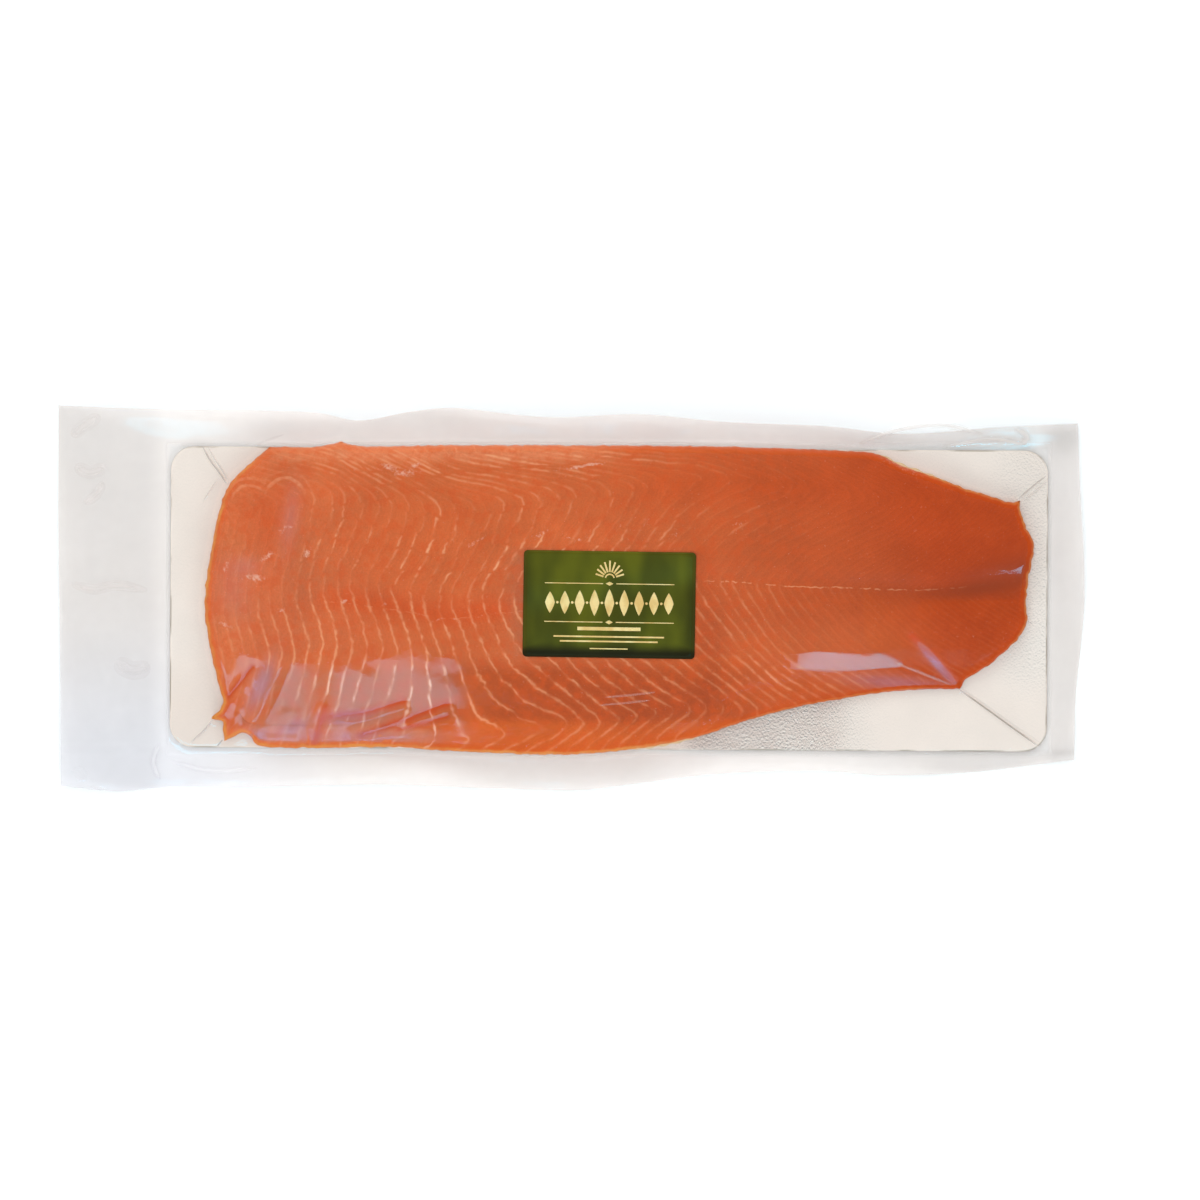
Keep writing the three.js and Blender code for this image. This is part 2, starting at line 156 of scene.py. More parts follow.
# The fat lines between the flakes. PITCH is their spacing along the bone row at places along it.
# SWEEP says, at places along the fish, how far a line has run towards the tail at each distance
# above (+) or below (-) the bone row.
PITCH = [
    (-235, 6.8), (-198, 7.2), (-172, 9.2), (-80, 9.2), (10, 10), (80, 8.2), (130, 7), (190, 5.2),
    (295, 3.9),
]
SWEEP = [
    (-220, [(-90, -14), (-60, -2), (-27, 7), (0, 0), (30, 1), (50, 6), (70, 10), (84, -8), (104, -50)]),
    (-120, [(-90, -8), (-60, 0), (-27, 9), (-10, 5), (0, 0), (10, -3), (20, -2), (30, 4),
            (42, 9), (52, 13), (66, 15), (73, 12), (82, -6), (90, -28), (104, -66)]),
    (-60, [(-92, 16), (-80, 30), (-60, 22), (-40, 15), (-20, 8), (0, 0), (10, -2), (20, 0),
           (30, 6), (42, 12), (53, 17), (66, 20), (74, 17), (83, -2), (91, -27), (104, -66)]),
    (-10, [(-92, 40), (-76, 62), (-58, 44), (-40, 28), (-20, 12), (0, 0), (10, -1), (20, 2),
           (30, 8), (42, 16), (54, 22), (66, 27), (74, 24), (83, 4), (92, -25), (104, -66)]),
    (60, [(-96, 50), (-80, 72), (-60, 48), (-40, 28), (-20, 12), (0, 0), (20, 8), (40, 22),
          (56, 34), (67, 38), (76, 24), (86, -8), (100, -50)]),
    (130, [(-80, 78), (-60, 52), (-40, 28), (-20, 13), (0, 0), (20, 18), (40, 42), (60, 70),
           (66, 74), (76, 54), (88, 16)]),
    (200, [(-70, 84), (-50, 54), (-30, 30), (-15, 14), (0, 0), (20, 30), (40, 62), (58, 84),
           (70, 60), (86, 20)]),
    (290, [(-60, 80), (-40, 54), (-20, 26), (0, 0), (20, 30), (40, 60), (60, 84)]),
]
SWEEP_ROUNDING = 3
FLAKE_HEIGHT = 0.012  # of the swell from one fat line to the next

# Strength of the fat lines at distances above the bone row.
FAT_ABOVE = [
    (0, 0.75), (14, 0.55), (23, 0.5), (29, 1.2), (45, 1.1), (51, 0.4), (56, 0.6), (70, 0.6),
    (76, 0.4), (84, 0.75), (100, 1.0),
]

# How far the colour has turned to the tail's at places along the fish.
TAIL_SHARE = [
    (0, 0), (40, 0.1), (95, 0.29), (115, 0.4), (140, 0.5), (165, 0.54), (190, 0.7), (205, 0.82),
    (225, 1),
]

# Arched lines at the collar: centre, spacing, the least and greatest radius, and strength.
RINGS = [((-204, 60), 4.6, (8, 20), 0.45), ((-181, 62), 5.4, (9, 20), 0.55)]

# Scraps of pale connective tissue: centre, half length, half width, turn in degrees, strength.
PALE_SCRAPS = [
    ((-167, 28.5), 3.2, 2.2, 50, 1.0), ((-192.5, 26.5), 4.2, 1.8, 35, 1.0),
    ((-200.5, 13), 6, 2.6, -10, 1.0), ((-116, 83), 6, 2.2, -12, 0.9), ((-104, 79), 8, 1.8, 8, 0.8),
    ((-98, 84), 4, 1.6, 15, 0.8), ((3, 82.5), 11, 1.1, 11, 0.8), ((14, 84.5), 6, 0.9, 4, 0.7),
    ((104, 47), 2.4, 0.9, 30, 0.6), ((107.5, 45.5), 2.2, 0.9, -50, 0.7), ((105, 42.5), 2, 0.8, 70, 0.4),
    ((-3, 38.5), 4, 1.0, -12, 0.7), ((4, 36.5), 4.5, 0.9, 14, 0.6), ((11, 39.5), 3, 0.8, 70, 0.5),
    ((47, 47), 5, 1.2, 45, 0.4), ((66, 41), 5, 1.2, 60, 0.35), ((30, 44), 4, 1.0, 60, 0.4),
    ((-118, -4), 3, 0.9, -25, 0.6), ((-85, -14), 3.4, 1.0, 20, 0.6), ((-73, -14), 3.2, 1.0, -30, 0.6),
    ((-97, -10.5), 2.5, 0.9, 40, 0.5), ((-58, -12), 2.5, 0.9, 25, 0.45),
    ((-143.5, -2), 2.6, 1.4, 20, 1.0), ((-183.6, -8.2), 2, 1.4, 0, 0.9),
    ((-220, -17), 5, 1.6, -25, 0.8), ((209, 84.5), 14, 2.4, -25, 0.7), ((-219, 20), 4, 1.6, 70, 0.7),
    ((-60, 36), 7, 1.4, 35, 0.6), ((-20, 40), 7, 1.4, 25, 0.6), ((-180, 44), 6, 2, 40, 0.5),
    ((290, 11), 4, 5, 70, 0.9),
]

# Brown patches near the bone row: as for the scraps.
DUSK_SPOTS = [
    ((262, 6), 36, 4.5, 6, 0.75), ((276, 16), 26, 9, 18, 0.55), ((288, 17), 6.5, 3.4, 65, 1.0),
    ((125.6, 48.3), 1.0, 0.8, 0, 0.6), ((216, 4), 34, 4.5, 0, 0.3),
]

# Scraps of membrane along the edge: which edge, where on it they start and end, which side of the
# edge's direction they lie on, and how far they stick out.
FRINGES = [("belly", 0.555, 0.645, 1, 1.8), ("back", 0.8, 0.9, -1, 2.0)]

# Creases of the film: places, half width, height and how dark (or, below 0, milky) the pinch looks.
# A dark pinch is double film with painted shade along its core; a milky one is partly the film's own
# whitening and partly a painted whitish sheen.
CREASES = [
    ([(-234.8, 97), (-230, 88), (-224, 80), (-218.5, 71.8)], 0.9, 0.7, 0.8),
    ([(-231.5, 97), (-227, 88.5), (-221.5, 80.5), (-217.5, 73)], 0.6, 0.5, 0.5),
    ([(-224.9, 76), (-230, 68.5), (-234.4, 61)], 0.5, 0.35, 0.4),
    ([(-227.5, -76.5), (-233, -83.5), (-242, -92)], 0.8, 0.6, 0.7),
    ([(-221.6, -90), (-225.4, -94.6)], 0.7, 0.6, 0.9),
    ([(283.1, 61.6), (293, 70.5), (302.8, 78.1)], 0.8, 0.7, 0.8),
    ([(286, 60.6), (295.5, 68.2), (303.5, 74.5)], 0.6, 0.5, 0.6),
    ([(245.5, -57.2), (262, -69), (282, -83.5), (298.3, -95)], 1.0, 0.9, 1.0),
    ([(247.5, -56.8), (264, -68.2), (284, -82.4), (299, -92.5)], 0.5, 0.4, 0.0),
    ([(287.6, -13.3), (293.7, -16.5)], 0.4, 0.3, 0.6),
    ([(220, -28), (228, -37), (237, -47), (245, -55.5)], 2.2, 0.15, 0.0),
    ([(206, -41), (214, -44.5), (228, -50), (243, -55.8)], 0.8, 0.3, -0.12),
    ([(-204, 95.5), (-196, 99.5), (-183, 104)], 0.8, 0.5, 0.0),
    ([(21.5, -62.9), (38, -61.5), (53.2, -59.7)], 0.7, 0.3, 0.0),
    ([(18.3, -67.9), (34, -66.6), (50, -64.8)], 0.7, 0.3, 0.0),
    ([(-318, 9), (-304, 5.5), (-290, 8), (-270, 5)], 3.4, 0.13, -0.4),
    ([(-318, 103), (-309, 110), (-300, 116)], 4.2, 0.16, -0.45),
    ([(-316, 84), (-306, 80), (-296, 84)], 4.4, 0.14, -0.4),
    ([(-310, 60), (-302, 66), (-298, 74)], 3.2, 0.13, -0.35),
    ([(-290, -40), (-280, -46), (-268, -44)], 6, 0.15, -0.35),
    ([(-262, -92), (-266, -104), (-262, -116)], 2.4, 0.2, -0.6),
    ([(-255, -104), (-230, -110), (-200, -108)], 2.2, 0.2, -0.4),
    ([(183, 98), (205, 106), (236, 110), (262, 104)], 2.2, 0.3, -0.8),
    ([(236, 96), (268, 101), (292, 97)], 2.0, 0.3, -0.7),
    ([(282, 108), (290, 102), (286, 97)], 3.5, 0.3, -0.7),
]

# A crease's section: places across it and heights, as shares of its half width and height.
CREASE_SECTION = [(-1, 0), (-0.6, 0.16), (-0.3, 0.75), (0, 1), (0.3, 0.75), (0.6, 0.16), (1, 0)]

# Below the first of these lines and above the second the film near the tail mirrors less, which
# leaves the long mirrored window between them.
LENS_LOW = [
    (105, -36), (117, -38.6), (133, -42.5), (157, -45.2), (196, -44.9), (210, -42.5), (214, -20),
    (222, 0),
]
LENS_HIGH = [
    (184, -20), (189, -31.5), (194, -35), (202, -38.6), (209, -42), (215, -45), (222, -46),
]

# Places where the tight film stands off a little and looks milky, its veil tinted lavender as a painted
# reflection: as for the scraps of tissue.
SLACK_REFLECTIONS = [
    ((-214, 4), 10, 18, 8, 0.045), ((-178, 50), 5, 18, -8, 0.07), ((-197, -56), 5, 15, -25, 0.27),
    ((-206, 20), 9, 6, 0, 0.06), ((206, -54), 30, 4.5, -6, 0.17), ((232, -42), 13, 2.2, -46, 0.3),
    ((-199, -87), 6, 4, 0, 0.22), ((-178, -83), 9, 4, 20, 0.16), ((-140, -88), 50, 4, 0, 0.18),
    ((-143, -76), 24, 5, 5, 0.17),
]

# The foil's rings from its edge inwards: inset and drop below its top.
FOIL_RINGS = [(0, -0.45), (0.05, -0.16), (0.3, -0.02), (0.7, 0), (1.2, 0)]
FOIL_RINGS += [(inset, 0) for inset in (6, 14, 24, 36, 50, 66, 82)]
CARD_BEVEL = (0.15, 0.12)  # of the card's lower edge: inset and height
FOIL_TINTS = ((1.03, 1.055, 1.08), (0.97, 0.95, 0.955))  # factors at the back and at the belly

# Film
FILM_STEPS = (480, 185)
BASE_STEPS = (130, 50)
FIELD_PITCH = 1.0
FILM_GAP = 0.1  # under the tight film
MARGIN_GAP = 0.45  # between the two films of the loose margin
LEAST_GAP = 0.15
SEAL_GAP = 0.06  # between the films at the bag's edge
BASE_GAP = 0.02  # under the lower film
CREASE_GAP = 0.03  # between the film and its creases
SEAL_WIDTH = 7
BRIDGING = 5  # rounds of tightening, which set how far the film spans a corner
FILM_BLUR = 4  # rounds of evening out of the upper film
LIFT_BLUR = 14  # and of the margin's lift
RAY_HIGH = 60  # height from which rays look down on the pack
RAY_LOW = 20  # and how far below it they look up
BOARD_RIM = (-1.5, 3.5)  # where tight film turns loose, as distances outside the board
FILM_INDEX = 1.46  # refractive index
GLOSS_CUT = 0.95
PINCH_HAZE = 0.75

# Label
LABEL_CENTRE = (24.2, -4.2)
LABEL_SIZE = (109, 67.5)
LABEL_CORNER = 2.6
LABEL_TURN = -0.9  # degrees
LABEL_GAP = 0.12  # between the film and the paper
LABEL_BLUR = 24  # rounds of evening out of the film that carries it
STAMP_SINK = 0.02  # of the stamping into the paper
LEAF_SPACING = 9.4
FAN_FOOT = 16.4

# Camera
CAMERA_AIM = (18.3, -1.3)
PICTURE_WIDTH = 762
PACK_MIDDLE = 10  # height at which the picture has that width
SENSOR = 36

# Stage, in metres. A panel has angles off straight above and round from +X, a size and a share of
# the brightness; a light of the window has its left and right edge, its height and a share.
FLOOR_REACH = 4.0
FLOOR_DROP = 0.0004
PANEL_DISTANCE = 2.6
PANELS = [
    ("panel_top", 8, 180, (2.4, 2.4), 0.68), ("panel_left", 50, 165, (1.6, 1.6), 0.45),
    ("panel_right", 50, 15, (1.6, 1.6), 0.45), ("panel_back", 56, 90, (2.2, 1.2), 1.15),
    ("panel_front", 60, -90, (2.6, 1.2), 1.2),
]
WINDOW_BEARING = (23.5, -90, 2.3)
WINDOW_SILL = 0.6
WINDOW_LIGHTS = [("window_left", -1.05, -0.13, 0.66, 0.48), ("window_right", 0.42, 1.1, 0.68, 1.0)]


# ------------------------------------------------------------------ curves and profiles


def smooth(value):
    """Eases 0 to 1."""
    held = np.clip(value, 0, 1)
    return held * held * (3 - 2 * held)


def ease(value, start, end):
    """Eases from 0 to 1 as value goes from start to end."""
    return smooth((value - start) / (end - start))


def bell(distance, width):
    """1 at no distance, fading out past the width."""
    return np.exp(-((distance / width) ** 2))


def profile(knots, at, rounding):
    """A value along straight lines between (place, value) knots, each knot rounded off."""
    places, values = np.array(knots, float).T
    taps = (-1, -0.5, 0, 0.5, 1)
    return sum(np.interp(at + tap * rounding, places, values) for tap in taps) / len(taps)


def blended_profile(stations, along, at, rounding, mixing=smooth):
    """A mix of several profiles, each of which holds at its own place along the way."""
    places = [place for place, _ in stations]
    values = [profile(knots, at, rounding) for _, knots in stations]
    mixed = values[0]
    for i in range(1, len(stations)):
        share = mixing((along - places[i - 1]) / (places[i] - places[i - 1]))
        mixed = mixed * (1 - share) + values[i] * share
    return mixed


def curve_through(points, steps=24):
    """A centripetal curve through the points, with steps places on each stretch."""
    line = np.array(points, float)
    line = np.vstack([2 * line[0] - line[1], line, 2 * line[-1] - line[-2]])
    made = []
    for a, b, c, d in zip(line, line[1:], line[2:], line[3:]):
        ta = 0
        tb = ta + np.linalg.norm(b - a) ** 0.5
        tc = tb + np.linalg.norm(c - b) ** 0.5
        td = tc + np.linalg.norm(d - c) ** 0.5
        t = np.linspace(tb, tc, steps, endpoint=False)[:, None]
        ab = (tb - t) / (tb - ta) * a + (t - ta) / (tb - ta) * b
        bc = (tc - t) / (tc - tb) * b + (t - tb) / (tc - tb) * c
        cd = (td - t) / (td - tc) * c + (t - tc) / (td - tc) * d
        abc = (tc - t) / (tc - ta) * ab + (t - ta) / (tc - ta) * bc
        bcd = (td - t) / (td - tb) * bc + (t - tb) / (td - tb) * cd
        made.append((tc - t) / (tc - tb) * abc + (t - tb) / (tc - tb) * bcd)
    return np.vstack([*made, line[-2:-1]])


def edge_through(points):
    """A function from a share of its length, 0 to 1, to a place on the curve through points."""
    line = curve_through(points)
    steps = np.linalg.norm(np.diff(line, axis=0), axis=1)
    share = np.concatenate([[0], np.cumsum(steps)]) / steps.sum()
    return lambda t: np.stack([np.interp(t, share, axis) for axis in line.T], -1)


def patch_between(edges, columns, rows):
    """A grid of places that fills four edges: its columns run from head to tail."""
    names = ("belly", "back", "head", "tail")
    belly, back, head, tail = (edge_through(edges[name]) for name in names)
    s = np.linspace(0, 1, columns + 1)[:, None]
    t = np.linspace(0, 1, rows + 1)[None, :]
    s3, t3 = s[..., None], t[..., None]
    along = belly(s) * (1 - t3) + back(s) * t3
    across = head(t) * (1 - s3) + tail(t) * s3
    corners = (
        belly(0.0) * (1 - s3) * (1 - t3) + back(0.0) * (1 - s3) * t3
        + belly(1.0) * s3 * (1 - t3) + back(1.0) * s3 * t3
    )
    return along + across - corners


def distance_to(line, places):
    """How far each place lies from a line of points."""
    best = np.full(len(places), np.inf)
    for a, b in zip(line, line[1:]):
        step = b - a
        share = np.clip((places - a) @ step / max(step @ step, 1e-9), 0, 1)
        best = np.minimum(best, np.linalg.norm(places - a - share[:, None] * step, axis=1))
    return best


def off_rim(plan, rim):
    """How far each place of a plan lies from its rim, which is given by point numbers."""
    outline = plan[np.append(rim, rim[0])]
    return distance_to(outline[::RIM_STRIDE], plan)


def side_of(line):
    """The direction to the left of a line of places, at each of them."""
    ahead = np.gradient(line, axis=0)
    ahead /= np.linalg.norm(ahead, axis=1)[:, None]
    return np.column_stack([-ahead[:, 1], ahead[:, 0]])


def ripple(x, y, size, seed, waves=9):
    """Soft unevenness of about -1 to 1, with swells about size across."""
    draw = np.random.default_rng(seed)
    total = np.zeros_like(x)
    for _ in range(waves):
        angle, start = draw.uniform(0, 2 * math.pi, 2)
        length = size * draw.uniform(0.7, 1.6)
        total += np.sin((x * math.cos(angle) + y * math.sin(angle)) * 2 * math.pi / length + start)
    return total / math.sqrt(waves)


# ------------------------------------------------------------------ meshes


def grid_faces(columns, rows):
    """Quads over a grid of (columns + 1) by (rows + 1) points, seen from above."""
    first = (np.arange(columns)[:, None] * (rows + 1) + np.arange(rows)[None, :]).ravel()
    return np.stack([first, first + rows + 1, first + rows + 2, first + 1], 1)


def grid_rim(columns, rows):
    """The points of a grid's rim, anticlockwise from the belly-head corner."""
    index = np.arange((columns + 1) * (rows + 1)).reshape(columns + 1, rows + 1)
    return np.concatenate([index[:-1, 0], index[-1, :-1], index[:0:-1, -1], index[0, :0:-1]])


def band_faces(outer, inner):
    """Quads between two closed rings of point numbers."""
    return np.stack([outer, np.roll(outer, -1), np.roll(inner, -1), inner], 1)


def stacked_rings(count, levels):
    """Quads between rings of count points each, which follow each other in the point list."""
    ring = np.arange(count)
    bands = [band_faces(ring + i * count, ring + (i + 1) * count) for i in range(levels - 1)]
    return np.vstack(bands).tolist()


def make_piece(name, points, faces, materials, slots=None, flat=False):
    """A mesh object from points in millimetres, riding on the pack's one body."""
    mesh = bpy.data.meshes.new(name)
    mesh.from_pydata((np.asarray(points, float) * MM).tolist(), [], [list(face) for face in faces])
    for material in materials:
        mesh.materials.append(material)
    if slots is not None:
        mesh.polygons.foreach_set("material_index", np.asarray(slots, np.int32))
    mesh.polygons.foreach_set("use_smooth", np.full(len(mesh.polygons), not flat))
    mesh.validate()
    mesh.update()
    piece = bpy.data.objects.new(name, mesh)
    bpy.context.scene.collection.objects.link(piece)
    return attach(piece, BODY)


def store(piece, name, values):
    """Keeps a number for each point of a piece under a name that materials read."""
    attribute = piece.data.attributes.new(name, "FLOAT", "POINT")
    attribute.data.foreach_set("value", np.asarray(values, np.float32).ravel())


def store_colour(piece, name, colours):
    """Keeps a colour for each point of a piece under a name that materials read."""
    attribute = piece.data.attributes.new(name, "FLOAT_COLOR", "POINT")
    full = np.ones((len(colours), 4), np.float32)
    full[:, :3] = colours
    attribute.data.foreach_set("color", full.ravel())


def tree_of(thing):
    """A search tree over a shown or carried object's faces."""
    return BVHTree.FromObject(thing, bpy.context.evaluated_depsgraph_get())


def seen_height(tree, x, y, start, down=True):
    """Heights in millimetres where vertical rays meet a tree's faces; nan where they meet none."""
    heading = Vector((0, 0, -1 if down else 1))
    found = np.full(x.shape, np.nan)
    flat = found.ravel()
    for i, (px, py) in enumerate(zip((x * MM).ravel().tolist(), (y * MM).ravel().tolist())):
        hit = tree.ray_cast((px, py, start * MM), heading)[0]
        if hit is not None:
            flat[i] = hit.z / MM
    return found


def blur(field, rounds):
    """Evens out a field of heights, its rim held."""
    for _ in range(rounds):
        padded = np.pad(field, 1, mode="edge")
        rows = (padded[:-2] + 2 * padded[1:-1] + padded[2:]) / 4
        field = (rows[:, :-2] + 2 * rows[:, 1:-1] + rows[:, 2:]) / 4
    return field


class Field:
    """Heights on an even grid of places, in millimetres."""

    def __init__(self, low, high, pitch):
        self.low = np.array(low, float)
        self.pitch = pitch
        size = np.ceil((np.array(high) - self.low) / pitch).astype(int) + 1
        self.x, self.y = np.meshgrid(
            self.low[0] + np.arange(size[0]) * pitch, self.low[1] + np.arange(size[1]) * pitch,
            indexing="ij",
        )
        self.z = np.zeros(tuple(size))

    def at(self, x, y):
        """Heights between the grid's places."""
        gx = np.clip((x - self.low[0]) / self.pitch, 0, self.z.shape[0] - 1.001)
        gy = np.clip((y - self.low[1]) / self.pitch, 0, self.z.shape[1] - 1.001)
        i, j = gx.astype(int), gy.astype(int)
        u, v = gx - i, gy - j
        z = self.z
        near = z[i, j] * (1 - u) + z[i + 1, j] * u
        far = z[i, j + 1] * (1 - u) + z[i + 1, j + 1] * u
        return near * (1 - v) + far * v


# ------------------------------------------------------------------ materials


def linear(red, green, blue):
    """A screen colour from 0 to 255 as a linear colour."""
    return tuple(((c / 255 + 0.055) / 1.055) ** 2.4 if c > 10 else c / 3294 for c in (red, green, blue))


class Wiring:
    """Short calls that add nodes to one node tree."""

    def __init__(self, tree):
        self.tree = tree

    def add(self, kind, values=None, **settings):
        """A node with these settings and these values or links on its inputs."""
        made = self.tree.nodes.new(kind)
        for key, value in settings.items():
            setattr(made, key, value)
        for key, value in (values or {}).items():
            self.feed(made.inputs[key], value)
        return made

    def feed(self, socket, value):
        """Links a socket to an input, or sets a plain value on it."""
        if isinstance(value, bpy.types.NodeSocket):
            self.tree.links.new(value, socket)
        elif socket.type == "RGBA" and len(value) == 3:
            socket.default_value = (*value, 1)
        else:
            socket.default_value = value

    def math(self, operation, *values, clamp=False):
        """The result of a sum on values or sockets."""
        made = self.add("ShaderNodeMath", dict(enumerate(values)), operation=operation, use_clamp=clamp)
        return made.outputs[0]

    def times(self, first, *others):
        """The product of two or more values."""
        for other in others:
            first = self.math("MULTIPLY", first, other)
        return first

    def centred(self, value):
        """A value of 0 to 1 moved down to lie round 0."""
        return self.math("SUBTRACT", value, 0.5)

    def off_middle(self, count):
        """How far a running count is from the middle between two whole numbers."""
        return self.math("ABSOLUTE", self.centred(self.math("FRACT", count)))

    def attribute(self, name, output="Fac"):
        """What a piece keeps for each point under this name."""
        return self.add("ShaderNodeAttribute", attribute_name=name).outputs[output]

    def place(self):
        """Where a point lies, in metres."""
        return self.add("ShaderNodeTexCoord").outputs["Object"]

    def pair(self, first, second):
        """Two values as one vector."""
        return self.add("ShaderNodeCombineXYZ", {0: first, 1: second}).outputs[0]

    def stretched(self, vector, scale, turn=0.0):
        """Places scaled on each axis, after a turn in degrees about Z."""
        values = {"Vector": vector, "Scale": scale, "Rotation": (0, 0, math.radians(turn))}
        return self.add("ShaderNodeMapping", values).outputs[0]

    def noise(self, vector, size, detail=2.0, roughness=0.5):
        """Soft noise of 0 to 1 whose swells are about size millimetres across."""
        values = {"Vector": vector, "Scale": 1 / (size * MM), "Detail": detail, "Roughness": roughness}
        return self.add("ShaderNodeTexNoise", values).outputs["Fac"]

    def ramp(self, value, low, high, to_low=0.0, to_high=1.0):
        """Eases from to_low to to_high as value goes from low to high."""
        values = {"Value": value, 1: low, 2: high, 3: to_low, 4: to_high}
        return self.add("ShaderNodeMapRange", values, interpolation_type="SMOOTHSTEP").outputs[0]

    def mix(self, share, a, b):
        """Colour a with a share of colour b."""
        made = self.add("ShaderNodeMix", data_type="RGBA")
        for socket, value in zip((0, 6, 7), (share, a, b)):
            self.feed(made.inputs[socket], value)
        return made.outputs[2]

    def bump(self, height, strength, distance):
        """A normal from a height, whose full height is distance millimetres."""
        values = {"Height": height, "Strength": strength, "Distance": distance * MM}
        return self.add("ShaderNodeBump", values).outputs[0]

    def mottled(self, vector, blotch, grain):
        """Soft blotches and fine grain of these strengths, each about 1 on average."""
        made = self.add("ShaderNodeGroup", node_tree=mottle_group())
        for key, value in (("Vector", vector), ("Blotch", blotch), ("Grain", grain)):
            self.feed(made.inputs[key], value)
        return made.outputs


def new_material(name, **sockets):
    """A material with one Principled shader, whose plain sockets are set here."""
    material = bpy.data.materials.new(name)
    material.use_nodes = True
    wiring = Wiring(material.node_tree)
    shader = material.node_tree.nodes["Principled BSDF"]
    for key, value in sockets.items():
        wiring.feed(shader.inputs[key.replace("_", " ")], value)
    return material, wiring, shader


def mottle_group():
    """A node group: soft blotches and fine grain, each about 1 on average."""
    if "mottle" in bpy.data.node_groups:
        return bpy.data.node_groups["mottle"]
    tree = bpy.data.node_groups.new("mottle", "ShaderNodeTree")
    for name, kind in (("Vector", "Vector"), ("Blotch", "Float"), ("Grain", "Float")):
        tree.interface.new_socket(name, in_out="INPUT", socket_type="NodeSocket" + kind)
    for name in ("Blotches", "Grains"):
        tree.interface.new_socket(name, in_out="OUTPUT", socket_type="NodeSocketFloat")
    w = Wiring(tree)
    given = w.add("NodeGroupInput").outputs
    end = w.add("NodeGroupOutput")
    for key, size, detail, target in (("Blotch", 26, 3, "Blotches"), ("Grain", 1.1, 2, "Grains")):
        swells = w.centred(w.noise(given["Vector"], size, detail))
        w.feed(end.inputs[target], w.math("MULTIPLY_ADD", swells, given[key], 1.0))
    return tree


def tinted(w, colour, value):
    """A colour made lighter or darker by a value around 1."""
    return w.add("ShaderNodeVectorMath", {0: colour, 1: value}, operation="MULTIPLY").outputs[0]


def fat_lines(w, here, drift, tremble):
    """The count of flakes, the lines' breaks, and masks of the lines and of their soft edges."""
    phase = w.math("MULTIPLY_ADD", drift, 0.5, w.attribute("septa"))
    phase = w.math("MULTIPLY_ADD", tremble, 0.16, phase)
    # Where the lines are broken, each piece is set off a little and has a strength of its own.
    broken = w.attribute("broken")
    zone = w.math("MULTIPLY_ADD", w.attribute("lateral"), 1 / 12.5, w.times(w.noise(here, 24, 1), 1.6))
    cell = w.pair(w.math("FLOOR", phase), w.math("FLOOR", zone))
    chance = w.add("ShaderNodeTexWhiteNoise", {"Vector": cell}, noise_dimensions="2D").outputs
    phase = w.math("ADD", phase, w.times(w.centred(chance["Value"]), w.times(broken, 0.34)))
    piece = w.add("ShaderNodeSeparateColor", {0: chance["Color"]}).outputs[1]
    ends = w.ramp(w.off_middle(zone), 0.34, 0.5, 1.0, 0.0)
    piece = w.times(w.math("MULTIPLY_ADD", piece, 1.1, 0.1), ends)
    piece = w.math("MULTIPLY_ADD", w.math("SUBTRACT", piece, 1.0), broken, 1.0)
    line = w.math("FLOOR", phase)
    own = w.add("ShaderNodeTexWhiteNoise", {"W": line}, noise_dimensions="1D").outputs[0]
    breaks = w.ramp(w.noise(here, 9, 2, 0.6), 0.36, 0.62, 0.15, 1.0)
    strength = w.times(w.math("MULTIPLY_ADD", own, 0.5, 0.5), breaks, piece, w.attribute("fat"))
    off_line = w.times(w.off_middle(phase), w.attribute("pitch"))
    width = w.math("MULTIPLY_ADD", w.noise(here, 5, 2), 1.0, 0.75)
    core = w.times(w.ramp(off_line, 0.1, width, 0.85, 0.0), strength)
    halo = w.times(w.ramp(off_line, 0.0, 3.0, 0.4, 0.0), strength)
    return phase, breaks, core, halo


def flesh_ground(w, look, here, phase):
    """The flesh's colour with blotches, painted shade across each flake, fibres and redder flecks."""
    mottle = w.mottled(here, 0.36, 0.3)
    tone = tinted(w, w.attribute("tone", "Color"), w.times(mottle["Blotches"], mottle["Grains"]))
    # Painted shade across each flake: darker just past a fat line, lighter towards the next.
    step = w.centred(w.math("FRACT", w.math("ADD", phase, 0.5)))
    tone = tinted(w, tone, w.math("MULTIPLY_ADD", step, 0.08, 1.0))
    run = w.pair(w.times(phase, 9 * MM), w.times(w.attribute("lateral"), 0.16 * MM))
    fibres = w.centred(w.noise(run, 1.25, 3, 0.6))
    tone = tinted(w, tone, w.math("MULTIPLY_ADD", fibres, w.attribute("fibrous"), 1.0))
    flecks = w.ramp(w.noise(here, 6.5, 4, 0.6), 0.42, 0.66)
    return w.mix(w.times(flecks, w.attribute("flecked")), tone, look.red_tone)


def flesh_edge(w, look, here, colour):
    """A colour of the flesh with its deeper rim, its dried amber edge and the skin below that."""
    rim, side, dried = (w.attribute(name) for name in ("rim", "side", "dried"))
    colour = w.mix(w.ramp(rim, 0.0, 8.0, 0.32, 0.0), colour, look.deep_colour)
    ragged = w.times(rim, w.math("MULTIPLY_ADD", dried, -0.95, 1.55))
    ragged = w.math("MULTIPLY_ADD", w.noise(here, 5, 3, 0.6), -2.0, ragged)
    patches = w.ramp(w.noise(here, 16, 2), 0.3, 0.7, 0.4, 1.0)
    amber = w.times(w.ramp(ragged, -0.6, 0.9, 0.9, 0.0), patches)
    amber = w.times(amber, w.times(w.ramp(side, 0.0, 0.3, 1.0, 0.35), dried))
    colour = w.mix(amber, colour, look.edge_colour)
    return w.mix(w.ramp(side, 0.55, 0.95), colour, look.skin_colour)


